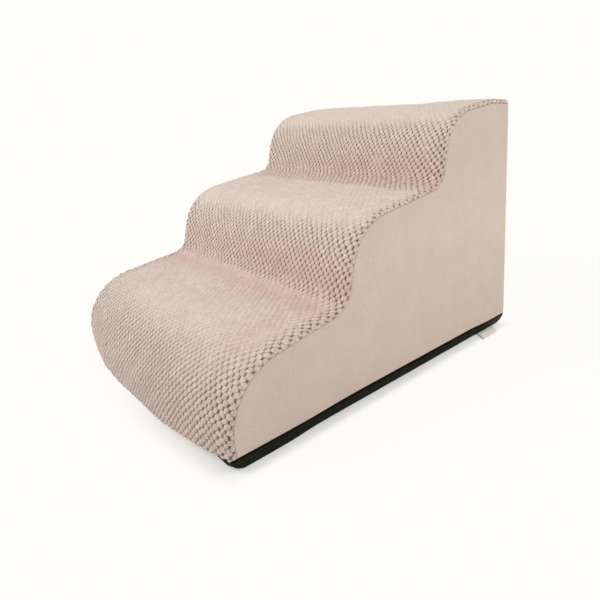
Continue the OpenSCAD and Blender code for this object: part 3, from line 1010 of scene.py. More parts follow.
@dataclass(frozen=True)
class Bubbles:
    """The bubbles of the plush: round caps in staggered rows, with a hole beside each one."""

    pitch: float = 0.00884
    edge_pitch: float = 0.0045
    edge_reach: float = 0.018
    row: float = 0.00507
    half_width: float = 0.0041
    half_length: float = 0.0039
    height: float = 0.0027
    level: float = 0.9
    rounding: float = 0.93
    # Nearness ranges of the painted shade in the creases and in the holes.
    crease_shade: Span = (0.62, 0.95)
    hole: Span = (0.84, 1.06)
    uneven: float = 0.12
    uneven_size: float = 0.012
    wander: float = 0.11
    wander_sizes: Span = (0.045, 0.016)
    quick_share: Span = (0.5, 0.6)
    ragged: float = 1.6
    column_skew: float = 0.150
    row_skew: float = 0.045
    front_reach: float = 0.115
    front_lean: Span = (0.35, 0.06)
    lean_zone: Span = (-0.05, 0.13)
    merged: Span = (-0.19, -0.31)
    merge_most: float = 0.22
    merge_end: Span = (0.095, 0.150)
    merge_side: Span = (0.130, 0.190)
    table: int = 2000
    table_margin: float = 0.004

    def lattice(self, across: Array, along: Array, reach: float) -> tuple[Array, Array]:
        """Count the bubbles across and the rows along, with a slow wander.

        Args:
            across: Distance from the middle, along the cloth.
            along: Distance along the outline.
            reach: Distance from the middle to the side seams, along the cloth.

        Returns:
            The count of bubbles across and of rows along.
        """
        table = np.linspace(0, reach + self.table_margin, self.table)
        wider = np.exp(-np.maximum(reach - table, 0) / self.edge_reach)
        pitch = self.pitch + self.edge_pitch * wider
        count = np.concatenate([[0], np.cumsum(np.diff(table) / ((pitch[1:] + pitch[:-1]) / 2))])
        column = np.sign(across) * np.interp(np.abs(across), table, count)
        column = column - self.column_skew * along / self.pitch
        left, right = self.front_lean
        lean = left + (right - left) * ease(*self.lean_zone, across)
        column = column + lean * np.minimum(along - self.front_reach, 0.0) / self.pitch
        line = (along - self.row_skew * across) / self.row

        def sway(size: float, seed: Seed) -> Array:
            """Return slow unevenness over the cloth."""
            return soft_noise(across, along, size, seed)

        slow, quick = self.wander_sizes
        ragged = 1 + self.ragged * bell(reach - np.abs(across), self.edge_reach)
        first, second = (share * ragged for share in self.quick_share)
        column_sway = sway(slow, Seed.COLUMNS) + first * sway(quick, Seed.QUICK_COLUMNS)
        row_sway = sway(slow, Seed.ROWS) + second * sway(quick, Seed.QUICK_ROWS)
        return column + self.wander * column_sway, line + self.wander * row_sway

    def merge(self, across: Array, along: Array) -> Array:
        """Return how far the bubbles run together into slanting ribs, as they do on the front."""
        front = 1 - ease(*self.merge_end, along)
        return self.merge_most * front * (1 - ease(*self.merge_side, across))

    def nearness(self, column: Array, line: Array, merge: Array) -> Array:
        """Return the distance to the nearest bubble's middle, as a share of its half size."""
        wide, tall = self.pitch / self.half_width, 2 * self.row / self.half_length
        own, other = 1 + merge * self.merged[0], merge * self.merged[1]
        reach = []
        for shift in (0.0, 0.5):
            a, b = column - shift, line / 2 - shift
            a, b = a - np.round(a), b - np.round(b)
            reach.append(np.hypot(wide * (a * own + b * other), tall * (b * own + a * other)))
        return np.minimum(*reach)

    def cap(self, column: Array, line: Array, merge: Array) -> Array:
        """Return the height of the bubbles, from 0 in the holes to 1 on the caps."""
        near = self.rounding * self.nearness(column, line, merge)
        return np.sqrt(np.clip(1 - near**2, 0, 1))


@dataclass(frozen=True)
class Relief:
    """How far the bubbles stand out: fully on the front and the risers, worn flat on the treads.

    A pair gives where a change starts and ends, as lengths along the outline if its name says
    no other measure. In fold, the two values belong to the two inner corners.
    """

    facing_up: Span = (0.50, 0.90)
    first_tread: Span = (0.215, 0.260)
    first_blur: float = 0.12
    top_tread: Span = (0.50, 0.60)
    top_turn: float = 0.07
    fold: Span = (-0.001, -0.038)
    fold_blur: float = 0.006
    fold_reach: float = 0.06
    flat: float = 0.72
    first_less: float = 0.06
    worn: float = 0.14
    worn_size: float = 0.16
    side_less: float = 0.09
    side_across: Span = (0.04, 0.17)
    patchy: float = 0.22
    patch_size: float = 0.055
    seam_reach: float = 0.020
    tread_reach: float = 0.008
    second_riser: Span = (0.18, 0.30)
    riser_share: float = 1.7
    seam_least: float = 0.95
    seam_more: float = 0.35
    tuck: float = 0.5
    tuck_reach: float = 0.006
    front_more: float = 0.20
    front_end: Span = (0.09, 0.14)

    def strength(self, x: Array, v: Array, up: Array, seam: Array, valleys: list[float]) -> Array:
        """Work out how far the bubbles stand out.

        Args:
            x: Places across.
            v: Lengths along the outline.
            up: How far the cloth faces up.
            seam: Distances to the nearer side seam, along the cloth.
            valleys: Lengths along the outline of the inner corners.

        Returns:
            The share of the bubbles' full height.
        """
        first = 1 - ease(*self.first_tread, v)
        low, high = self.facing_up
        blur = self.first_blur * first
        flat = ease(low - blur, high + blur, up + self.top_turn * ease(*self.top_tread, v))
        for middle, start in zip(valleys, self.fold):
            risen = ease(-self.fold_blur, self.fold_blur, v - middle - start)
            flat = flat * (1 - risen * (v < middle + self.fold_reach))
        worn = 0.5 + 0.5 * soft_noise(x, v, self.worn_size, Seed.WORN)
        patches = ease(0.0, 1.0, soft_noise(x, v, self.patch_size, Seed.PATCHES))
        aside = self.side_less * ease(*self.side_across, np.abs(x))
        tread = flat * (self.flat - self.first_less * first + self.worn * worn - aside)
        past = 1 - self.riser_share * ease(*self.second_riser, v)
        reach = self.seam_reach + self.tread_reach * ease(*self.facing_up, up) * past
        near = bell(seam, reach)
        front = 1 + self.front_more * (1 - ease(*self.front_end, v))
        plain = (1 - tread) * (1 - self.patchy * patches) * front
        tucked = 1 - self.tuck * bell(seam, self.tuck_reach)
        return np.maximum(plain, self.seam_least * near) * (1 + self.seam_more * near) * tucked


@dataclass(frozen=True)
class Blush:
    """Where the plush looks pink: at the risers' feet, by the first tread's seam and in patches.

    The two values of fold shift the pink away from the two inner corners, along the outline.
    """

    fold: Span = (0.020, 0.002)
    fold_width: float = 0.036
    fold_across: Span = (-0.12, 0.12)
    fold_least: float = 0.45
    before: float = 0.75
    before_start: float = 0.040
    before_width: float = 0.020
    patch: float = 0.06
    patch_size: float = 0.15
    seam: float = 0.7
    seam_middle: Span = (0.155, 0.125)
    seam_width: Span = (0.028, 0.040)

    def share(self, x: Array, v: Array, valleys: list[float]) -> Array:
        """Work out the pink share.

        Args:
            x: Places across.
            v: Lengths along the outline.
            valleys: Lengths along the outline of the inner corners.

        Returns:
            The share, from 0 to 1.
        """
        middles = [valley + shift for valley, shift in zip(valleys, self.fold)]
        folds = np.maximum(*(bell(v - middle, self.fold_width) for middle in middles))
        before = self.before * bell(v - middles[0] + self.before_start, self.before_width)
        most = self.fold_least + (1 - self.fold_least) * ease(*self.fold_across, x)
        patch = ease(0.1, 1.0, soft_noise(x, v, self.patch_size, Seed.BLUSH))
        (x_middle, v_middle), (wide, tall) = self.seam_middle, self.seam_width
        near_seam = bell(x - x_middle, wide) * bell(v - v_middle, tall)
        total = np.maximum(most * folds, before) + self.patch * patch + self.seam * near_seam
        return np.clip(total, 0, 1)


@dataclass(frozen=True)
class Columns:
    """The cover's columns, from the left seam over the outer face and back over the inner one.

    Attributes:
        across: Place across the width.
        depth: Depth below the outer face.
        angle: The rolled edge's angle in radians, a right angle where the cloth is flat.
        cloth: Length along the cloth, from its middle.
        outer: Whether the column is on the outer face.
    """

    across: Array
    depth: Array
    angle: Array
    cloth: Array
    outer: Array


@dataclass
class TreadCover:
    """The bubble plush that runs over the steps, from the front hem to the back seam."""

    outline: Outline = OUTLINE
    bubbles: Bubbles = field(default_factory=Bubbles)
    relief: Relief = field(default_factory=Relief)
    blush: Blush = field(default_factory=Blush)
    thick: float = 0.0060
    edge_roll: float = 0.0042
    edge_turn: float = 33.0
    edge_out: float = 0.0008
    hem_roll: float = 0.0044
    hem_least: float = 0.0008
    back_roll: float = 0.0080
    back_turn: float = 71.0
    hem_drop: float = 0.0085
    hem_power: float = 8.0
    step: float = 0.00145
    row_step: float = 0.001325
    arc: float = 0.0015
    inner_bays: int = 26
    roll_rows: int = 6
    hem_zone: float = 0.040
    band_back: float = 0.0010
    band_draw: float = 0.0030
    band_floor: float = 0.0026
    seam_gap: float = 0.0003
    clear: float = 0.0004
    swells: tuple[Span, Span] = ((0.0009, 0.21), (0.0004, 0.07))
    swell_start: float = 0.03
    least_turn: float = 1e-4
    corner_apart: float = 0.05

    def hem_height(self, across: Array) -> Array:
        """Return the height of the hem at a place across the width."""
        share = 1 - np.clip(np.abs(across) / self.outline.half, 0, 1) ** self.hem_power
        return self.outline.foot - self.hem_drop * share

    def band_face(self, height: Array) -> Array:
        """Return the place along Y of the plush's inner face where it hangs before the band."""
        top = self.outline.foot - self.seam_gap
        drawn = self.band_draw * np.clip((top - height) / (top - self.band_floor), 0, 1)
        return self.outline.front_at(top) + self.band_back + drawn - self.clear

    def columns(self) -> Columns:
        """Lay out the columns."""
        half, right_angle = self.outline.half, math.pi / 2
        under = math.radians(self.edge_turn)
        curl = self.edge_roll * (right_angle + under)
        whole = self.outline.width + 2 * (self.edge_out - self.edge_roll) + 2 * curl
        u = np.linspace(0, whole, round(whole / self.step) + 1)
        near = np.minimum(u, whole - u)
        angle = np.minimum(near / self.edge_roll - under, right_angle)
        curled = half + self.edge_out - self.edge_roll * (1 - np.cos(angle))
        straight = half + self.edge_out - self.edge_roll - (near - curl)
        side = np.where(u < whole / 2, -1, 1)
        inner = np.linspace(half, -half, self.inner_bays + 1)

        def ring(outside: Array, inside: Array | float) -> Array:
            """Join the outer columns, the inner ones and the first one again."""
            return np.concatenate([outside, np.broadcast_to(inside, inner.shape), outside[:1]])

        return Columns(
            across=ring(side * np.where(near < curl, curled, straight), inner),
            depth=ring(self.edge_roll * (1 - np.sin(angle)), self.thick),
            angle=ring(angle, right_angle),
            cloth=ring(u - whole / 2, inner),
            outer=ring(np.full(u.shape, True), False),
        )

    def rows(self, line: Array, columns: Columns) -> tuple[Array, Array]:
        """Lay out the rows from the hem, which hangs lower towards the middle, to the back seam.

        Args:
            line: The traced outline.
            columns: The columns.

        Returns:
            The y, z and outward direction of each row and column, and their lengths along the
            outline.
        """
        o, zone = self.outline, self.hem_zone
        length = float(np.linalg.norm(np.diff(line[:, :2], axis=0), axis=1).sum())
        spread = np.clip(np.abs(columns.across), 0, o.half)
        hem_z = self.hem_height(spread)
        room = -o.front_at(hem_z) + o.crown_at(spread) + self.band_face(hem_z)
        hem_r = np.clip(room - self.clear, self.hem_least, self.hem_roll)
        start = -(o.foot - hem_z) / math.cos(math.radians(o.front_lean)) + hem_r
        low = np.linspace(0, 1, round(zone / self.row_step) + 1)[:-1, None]
        high = np.linspace(zone, length, round((length - zone) / self.row_step) + 1)[:, None]
        along = np.concatenate([start + (zone - start) * low, high + 0 * start])
        main = even_steps(line, along)
        steps = np.arange(1, self.roll_rows + 1) / self.roll_rows
        hem_turns = steps[::-1] * math.pi / 2
        back_turns = steps * math.radians(self.back_turn)
        hem = self._roll(main[0], hem_r, hem_turns, columns.outer)
        back = self._roll(main[-1], self.back_roll, -back_turns, columns.outer)
        before = along[:1] - hem_r * hem_turns[:, None]
        after = along[-1:] + self.back_roll * back_turns[:, None]
        return np.concatenate([hem, main, back]), np.concatenate([before, along, after])

    @staticmethod
    def _roll(row: Array, radius: Array | float, turns: Array, outer: Array) -> Array:
        """Make rows that turn in from the outward direction at an end of the cloth.

        Args:
            row: The row beside the roll.
            radius: Radius of the roll, for all columns or for each.
            turns: The rows' angles in radians, below 0 at the cloth's far end.
            outer: The outer columns. The inner ones run straight on.

        Returns:
            The rows.
        """
        out, radius = row[:, 2:], np.broadcast_to(radius, len(row))[:, None]
        way = np.stack([-out[:, 1], out[:, 0]], -1)
        made = []
        for turn in turns:
            aim = math.cos(turn) * out + math.sin(turn) * way
            rolled = np.hstack([row[:, :2] + radius * (aim - out), aim])
            straight = np.hstack([row[:, :2] + radius * math.sin(turn) * way, out])
            made.append(np.where(outer[:, None], rolled, straight))
        return np.stack(made)

    def raised(
        self, line: Array, columns: Columns, rows: Array, v: Array
    ) -> tuple[Array, dict[str, Array]]:
        """Raise the bubbles, bulge the front and hang the inner face before the band.

        Args:
            line: The traced outline.
            columns: The columns.
            rows: The y, z and outward direction of each row and column.
            v: Their lengths along the outline.

        Returns:
            The places of the points, and the values that each of them keeps.
        """
        o, bubbles, shape = self.outline, self.bubbles, v.shape
        y, z, out_y, out_z = (rows[..., k] for k in range(4))
        outer, across, cloth, beside = (
            np.broadcast_to(values, shape)
            for values in (
                columns.outer,
                columns.across,
                columns.cloth,
                np.sign(columns.across) * np.cos(columns.angle),
            )
        )
        lean = np.sin(columns.angle)
        normal = np.stack([beside, out_y * lean, out_z * lean], -1)
        places = np.stack([across, y - columns.depth * out_y, z - columns.depth * out_z], -1)

        reach = float(columns.cloth.max())
        from_seam = reach - np.abs(cloth)
        column, bubble_row = bubbles.lattice(cloth, v, reach)
        merge = bubbles.merge(across, v)
        uneven = bubbles.uneven * soft_noise(across, v, bubbles.uneven_size, Seed.CAPS)
        cap = bubbles.cap(column, bubble_row, merge) * (1 + uneven)
        valleys = self._valleys(line)
        strength = self.relief.strength(across, v, out_z, from_seam, valleys)
        (slow, slow_size), (quick, quick_size) = self.swells
        swell = slow * soft_noise(across, v, slow_size, Seed.FOAM)
        swell = swell + quick * soft_noise(across, v, quick_size, Seed.DIMPLES)
        lift = bubbles.height * strength * (cap - bubbles.level)
        lift = np.where(outer, lift + swell * ease(0.0, self.swell_start, from_seam), 0.0)
        x, y, z = np.moveaxis(places + lift[..., None] * normal, -1, 0)

        y = y - o.crown_at(np.clip(np.abs(across), 0, o.half)) * o.crown_fade(z)
        y = np.where(~outer & (z < o.foot) & (y < 0), self.band_face(z), y)
        layers = {
            "bubble": np.where(outer, strength, 0.0),
            "blush": self.blush.share(across, v, valleys),
            "merge": merge,
            "column": column,
            "line": bubble_row,
            "row": np.broadcast_to(np.arange(shape[0])[:, None], shape).astype(float),
            "outer": outer.astype(float),
        }
        return np.stack([x, y, z], -1), layers

    def build(self, finish: Material) -> Object:
        """Build the cover.

        Args:
            finish: The plush.

        Returns:
            The cover as one closed piece.
        """
        o = self.outline
        end = o.back - self.back_roll * math.sin(math.radians(self.back_turn))
        line = o.line(0.0, o.foot, end, self.arc)
        columns = self.columns()
        rows, v = self.rows(line, columns)
        mesh = shell(*self.raised(line, columns, rows, v))
        close_round(mesh, *v.shape)
        close_ends(mesh)
        bmesh.ops.recalc_face_normals(mesh, faces=mesh.faces)
        made = piece("bubble_tread_cover", mesh, finish)
        map_surface(made, "column", "line")
        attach(made, "stairs")
        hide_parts("tread_cover")
        return made

    def _valleys(self, line: Array) -> list[float]:
        """Return the lengths along the traced outline of the middles of its inner corners."""
        turn = np.diff(np.unwrap(np.arctan2(line[:, 3], line[:, 2])))
        inner = lengths_along(line[:, :2])[1:][turn > self.least_turn]
        parts = np.split(inner, np.nonzero(np.diff(inner) > self.corner_apart)[0] + 1)
        return [float(part.mean()) for part in parts]


# ---- The velvet panels ---------------------------------------------------------------------


@dataclass
class VelvetPanel:
    """A flat velvet panel over foam: its edges tuck into the seams and its face swells a little.

    The tucks and rolls have one value for each kind of seam.
    """

    face: Face
    outline: Outline = OUTLINE
    thick: float = 0.0030
    depth: float = 0.0063
    gap: float = 0.0003
    tucks: Triple = (0.0008, 0.0005, 0.0010)
    rolls: Triple = (0.0030, 0.0025, 0.0035)
    puff: float = 0.0006
    puff_size: float = 0.17
    puff_start: float = 0.03
    sink: float = 0.2
    overrun: float = 0.0009
    back_drop: float = 0.0006
    zip_margin: float = 0.030
    slot: float = 0.014
    stop: float = 0.003
    arc: float = 0.004
    foot_ends: Span = (0.210, -0.180)
    foot_step: float = 0.015
    insets: tuple[float, ...] = (0.0008, 0.0010, 0.0014, 0.0020, 0.0032)
    mesh_step: float = 0.014
    mesh_margins: Span = (0.012, 0.006)
    corner_zone: float = 0.01
    same: float = 1e-6

    def drawing(self) -> Array:
        """Return the panel's outline, in its own plane."""
        o = self.outline
        if self.face is Face.BACK:
            half = o.half - self.thick - self.gap
            top = float(o.line(self.depth, o.foot, o.back, self.arc)[-1][1]) - self.back_drop
            notch = o.half - self.zip_margin + self.stop + self.gap
            high = o.foot + self.slot
            right = [(notch, high), (notch, o.foot), (half, o.foot), (half, top)]
            left = [(-x, z) for x, z in right]
            return np.array([left[2], left[1], left[0], *right, left[3]])
        end = o.back + self.overrun
        rows = o.line(self.depth, o.foot, end, self.arc)[:, :2]
        low = np.arange(*self.foot_ends, -self.foot_step)
        foot = np.column_stack([low, o.foot + o.foot_lift(low)])
        return np.concatenate([rows, [[end, o.foot]], foot])

    def build(self, finish: Material) -> Object:
        """Build the panel.

        Args:
            finish: The velvet.

        Returns:
            The panel as one closed piece.
        """
        edge = self.drawing()
        name, node = {
            Face.LEFT: ("velvet_side_left", "side_panel_left"),
            Face.RIGHT: ("velvet_side_right", "side_panel_right"),
            Face.BACK: ("velvet_back", "back_panel"),
        }[self.face]
        made = piece(name, self._mesh(edge), finish)
        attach(made, "stairs")
        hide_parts(node)
        return made

    def _mesh(self, edge: Array) -> Mesh:
        """Cut the drawing into small faces, shape its face, and close it behind.

        Args:
            edge: The panel's outline.

        Returns:
            The panel's mesh, standing in its place.
        """
        mesh = bmesh.new()
        face = mesh.faces.new([mesh.verts.new((a, b, 0.0)) for a, b in edge])
        if face.normal.z < 0:
            bmesh.ops.reverse_faces(mesh, faces=[face])
        for width in self.insets:
            bmesh.ops.inset_region(
                mesh, faces=[face], thickness=width, use_even_offset=True, use_boundary=True
            )
        before, after = self.mesh_margins
        low, high = edge.min(0), edge.max(0)
        for axis in (0, 1):
            for place in np.arange(low[axis] + before, high[axis] - after, self.mesh_step):
                at, way = [0.0, 0.0, 0.0], [0.0, 0.0, 0.0]
                at[axis], way[axis] = float(place), 1.0
                whole = list(mesh.verts) + list(mesh.edges) + list(mesh.faces)
                bmesh.ops.bisect_plane(
                    mesh, geom=whole, plane_co=at, plane_no=way, dist=self.same
                )
        flat = np.array([vert.co[:2] for vert in mesh.verts])
        for vert, rise in zip(mesh.verts, self._height(flat, edge)):
            vert.co.z = rise
        rim = [e for e in mesh.edges if e.is_boundary]
        for part in bmesh.ops.extrude_edge_only(mesh, edges=rim)["geom"]:
            if isinstance(part, bmesh.types.BMVert):
                part.co.z = -self.thick + self.gap
        bmesh.ops.holes_fill(mesh, edges=[e for e in mesh.edges if e.is_boundary], sides=0)
        bmesh.ops.transform(mesh, matrix=self._stand(), verts=mesh.verts)
        bmesh.ops.triangulate(mesh, faces=[f for f in mesh.faces if len(f.verts) > 4])
        bmesh.ops.recalc_face_normals(mesh, faces=mesh.faces)
        return mesh

    def _height(self, flat: Array, edge: Array) -> Array:
        """Work out how far the face stands out: down in the seams and full in the middle.

        Args:
            flat: Places in the panel's plane.
            edge: The panel's outline.

        Returns:
            The height at each place.
        """
        nearest, dip = np.full(len(flat), np.inf), np.zeros(len(flat))
        for a, b in zip(edge, np.roll(edge, -1, 0)):
            way = b - a
            share = np.clip(((flat - a) @ way) / max(float(way @ way), 1e-12), 0, 1)
            away = np.linalg.norm(flat - a - share[:, None] * way, axis=1)
            nearest = np.minimum(nearest, away)
            seam = self._seam(a, b)
            t = np.clip(away / self.rolls[seam], 0, 1)
            dip = np.minimum(dip, -self.tucks[seam] * (1 - np.sqrt(1 - (1 - t) ** 2)))
        swell = soft_noise(flat[:, 0], flat[:, 1], self.puff_size, Seed.VELVET)
        swell = self.puff * swell * ease(0.0, self.puff_start, nearest)
        return dip + swell - self.puff * self.sink

    def _seam(self, a: Array, b: Array) -> Seam:
        """Tell what the panel's edge from a to b is sewn to."""
        o = self.outline
        upright = abs(a[0] - b[0]) < self.same
        if self.face is Face.BACK:
            if min(a[1], b[1]) > o.foot + self.slot + self.corner_zone:
                return Seam.PLUSH
            beside = upright and abs(a[0]) > o.half - self.corner_zone
            return Seam.PANEL if beside else Seam.BAND
        if upright and a[0] > o.back:
            return Seam.PANEL
        return Seam.BAND if max(a[1], b[1]) < o.foot + o.seam_lift + self.same else Seam.PLUSH

    @staticmethod
    def _area(edge: Array) -> float:
        """Return the flat area inside an outline."""
        x, y = edge.T
        return float(abs(np.dot(x, np.roll(y, -1)) - np.dot(y, np.roll(x, -1))) / 2)

    def _stand(self) -> Matrix:
        """Return the turn that stands the drawing up in its place."""
        o, up = self.outline, (0, 0, 1)
        along, out, place = {
            Face.BACK: ((1, 0, 0), (0, 1, 0), (0, o.back + self.overrun, 0)),
            Face.RIGHT: ((0, 1, 0), (1, 0, 0), (o.half, 0, 0)),
            Face.LEFT: ((0, 1, 0), (-1, 0, 0), (-o.half, 0, 0)),
        }[self.face]
        return Matrix.Translation(place) @ Matrix((along, up, out)).transposed().to_4x4()


# ---- The base ------------------------------------------------------------------------------


@dataclass
class Band:
    """The black band round the foot: a straight wall whose lower edge rolls under.

    The rolled part of its section has a height, an inset and a share of the foot's corner in
    each row.
    """

    outline: Outline = OUTLINE
    height: float = 0.014
    floor: float = 0.0006
    back: float = 0.0010
    draw: float = 0.0030
    wall: float = 0.0020
    top_r: float = 0.0025
    least_r: float = 0.001
    overrun: float = 0.0008
    foot_r: float = 0.018
    square: float = 0.7
    square_zone: Span = (-0.185, -0.140)
    corner_steps: int = 10
    side_steps: int = 26
    wave: float = 0.000125
    wave_size: float = 0.05
    edge: tuple[Span, ...] = ((0.0, 0.0012), (0.0002, 0.0004))
    section: tuple[Triple, ...] = (
        (0.0131, 0.0, 0.02),
        (0.0115, 0.0001, 0.12),
        (0.0090, 0.0004, 0.30),
        (0.0066, 0.0009, 0.52),
        (0.0046, 0.0015, 0.72),
        (0.0030, 0.0022, 0.88),
        (0.0018, 0.0029, 0.97),
        (0.0010, 0.0037, 1.0),
    )
    floor_inset: float = 0.0046
    inner_share: float = 0.3

    def plan(self, inset: float, radius: float, height: float) -> Array:
        """Trace the band's plan.

        Args:
            inset: How far inside the outer face.
            radius: Radius of the corners.
            height: Height of the traced ring.

        Returns:
            The ring's points, with the first repeated at the end.
        """
        o = self.outline
        front = float(o.front_at(self.height)) + self.back
        x = o.half - inset - radius
        low, high = front + inset + radius, o.back + self.overrun - inset - radius
        centres = np.array([(x, high), (-x, high), (-x, low), (x, low)])
        ring: list[Array] = []
        for quarter, centre in enumerate(centres):
            turns = math.pi / 2 * (quarter + np.arange(self.corner_steps + 1) / self.corner_steps)
            arms = radius * np.column_stack([np.cos(turns), np.sin(turns)])
            ring.extend(centre + arms)
            start, side = ring[-1], centres[(quarter + 1) % 4] - centre
            ring.extend(start + side * k / self.side_steps for k in range(1, self.side_steps))
        flat = np.array([*ring, ring[0]])
        return np.column_stack([flat, np.full(len(flat), height)])

    def rings(self) -> Array:
        """Stack the rings of the band's closed section, with the first repeated at the end."""
        full = self.draw + self.wall
        profile = [(self.height - drop, inset, 0.0) for drop, inset in self.edge]
        profile += [*self.section, (self.floor, self.floor_inset, 1.0)]
        profile += [(self.floor, full, 1.0), (self.height, full, self.inner_share)]
        rings = []
        for height, inset, share in profile:
            radius = self.top_r + (self.foot_r - self.top_r) * share
            rings.append(self.plan(inset, max(radius - inset, self.least_r), height))
        return np.stack([*rings, rings[0]])

    def shaped(self, places: Array, across: Array, along: Array) -> Array:
        """Wave the cloth, lift its side seams and square its foot by the front corners.

        Args:
            places: The stacked rings.
            across: Lengths along each ring.
            along: Lengths along the section.

        Returns:
            The rings in their final places.
        """
        places, rows = places.copy(), len(places)
        rolled = (np.arange(rows) < rows - 4)[:, None]
        wave = self.wave * soft_noise(across, along * 2, self.wave_size, Seed.BAND)
        outward = np.where(rolled, wave, 0.0)
        outward[-1] = outward[0]
        outward[:, -1] = outward[:, 0]
        aim = places[..., :2] / np.abs(places[..., :2]).max(axis=-1, keepdims=True)
        places[..., :2] += aim * outward[..., None]
        x, y = places[..., 0], places[..., 1]
        places[..., 2] *= 1 + self.outline.foot_lift(y) / self.height
        beside = self.outline.half - np.abs(x)
        square = self.square * (1 - ease(*self.square_zone, y)) * (beside < self.draw + self.wall)
        places[..., 0] = x + np.sign(x) * beside * square * rolled
        return places

    def build(self, finish: Material) -> Object:
        """Build the band.

        Args:
            finish: The band cloth.

        Returns:
            The band as one closed piece.
        """
        places = self.rings()
        steps = (np.linalg.norm(np.diff(places, axis=axis), axis=2) for axis in (1, 0))
        across, along = (
            np.insert(np.cumsum(step, axis), 0, 0, axis) for step, axis in zip(steps, (1, 0))
        )
        mesh = shell(self.shaped(places, across, along), {"across": across, "along": along})
        rows, columns = places.shape[:2]
        close_round(mesh, rows, columns)
        mesh.verts.ensure_lookup_table()
        last = (rows - 1) * (columns - 1)
        pairs = {mesh.verts[last + k]: mesh.verts[k] for k in range(columns - 1)}
        bmesh.ops.weld_verts(mesh, targetmap=pairs)
        bmesh.ops.recalc_face_normals(mesh, faces=mesh.faces)
        made = piece("band_cloth", mesh, finish)
        map_surface(made)
        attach(made, "stairs")
        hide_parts("base_band")
        return made


@dataclass
class SideLabel:
    """The folded label that lies on the floor beside the band, left blank."""

    outline: Outline = OUTLINE
    length: float = 0.045
    middle_from_back: float = 0.050
    root: float = 0.0052
    reach: float = 0.0150
    lift: float = 0.0012
    skew: float = 0.0145
    taper: float = 0.14
    ply: float = 0.00028
    low: float = 0.0003
    sag: float = 0.0002
    high: float = 0.0013
    fold_middle: Span = (0.0008, 0.0011)
    fold_radii: Span = (0.0009, 0.0007)
    fold_turn: Span = (0.4, 2.7)
    way_out: Span = (0.12, 0.94)
    way_back: Span = (0.9, 0.1)
    sag_turn: float = 3.0
    bulge: float = 0.6
    floor_points: int = 9
    fold_points: int = 7
    rows: int = 25
    ripples: tuple[Triple, Triple] = ((0.00018, 0.0065, 0.0), (0.00012, 0.0031, 1.0))

    def centre_line(self, start: float, end: float) -> Array:
        """Trace the strip: out along the floor, round the fold, and back above itself.

        Args:
            start: Place across at which it comes out.
            end: Place across of the fold.

        Returns:
            Rows of x and z.
        """
        out = np.linspace(*self.way_out, self.floor_points)
        back = np.linspace(*self.way_back, self.floor_points)
        fold = np.linspace(*self.fold_turn, self.fold_points)
        (inset, middle), (wide, tall) = self.fold_middle, self.fold_radii
        sagging = self.low + self.sag * np.sin(self.sag_turn * out)
        bulging = self.high + self.lift * np.sin(math.pi * back) * self.bulge
        parts = [
            [[start, self.low + self.sag / 2]],
            np.column_stack([start + (end - start) * out, sagging]),
            np.column_stack([end - inset + wide * np.sin(fold), middle - tall * np.cos(fold)]),
            np.column_stack([start + (end - start) * back, bulging]),
            [[start, self.high - self.low]],
        ]
        return np.concatenate(parts)

    def build(self, finish: Material) -> Object:
        """Build the label as one folded strip.

        Args:
            finish: The satin.

        Returns:
            The label.
        """
        o = self.outline
        start, end = o.half - self.root, o.half + self.reach
        line = self.centre_line(start, end)
        way = np.gradient(line, axis=0)
        way /= np.linalg.norm(way, axis=1, keepdims=True)
        out = np.column_stack([way[:, 1], -way[:, 0]]) * self.ply / 2
        ring = np.concatenate([line + out, (line - out)[::-1], (line + out)[:1]])
        rows = np.linspace(-self.length / 2, self.length / 2, self.rows)
        wave = sum(high * np.sin(rows / size + turn) for high, size, turn in self.ripples)
        share = np.clip((ring[:, 0] - start) / (end - start), 0, 1)
        places = np.zeros((len(rows), len(ring), 3))
        places[..., 0] = ring[:, 0]
        skewed = share * (self.skew + self.taper * rows[:, None])
        places[..., 1] = (o.back - self.middle_from_back + rows)[:, None] - skewed
        places[..., 2] = ring[:, 1] + wave[:, None] * share * (ring[:, 1] > self.fold_middle[0])
        along = np.broadcast_to(lengths_along(ring), places.shape[:2])
        across = np.broadcast_to(rows[:, None], places.shape[:2])
        mesh = shell(places, {"across": across, "along": along})
        close_round(mesh, *places.shape[:2])
        bmesh.ops.holes_fill(mesh, edges=[e for e in mesh.edges if e.is_boundary], sides=0)
        bmesh.ops.recalc_face_normals(mesh, faces=mesh.faces)
        made = piece("blank_side_label", mesh, finish)
        map_surface(made)
        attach(made, "stairs")
        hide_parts("side_label")
        return made


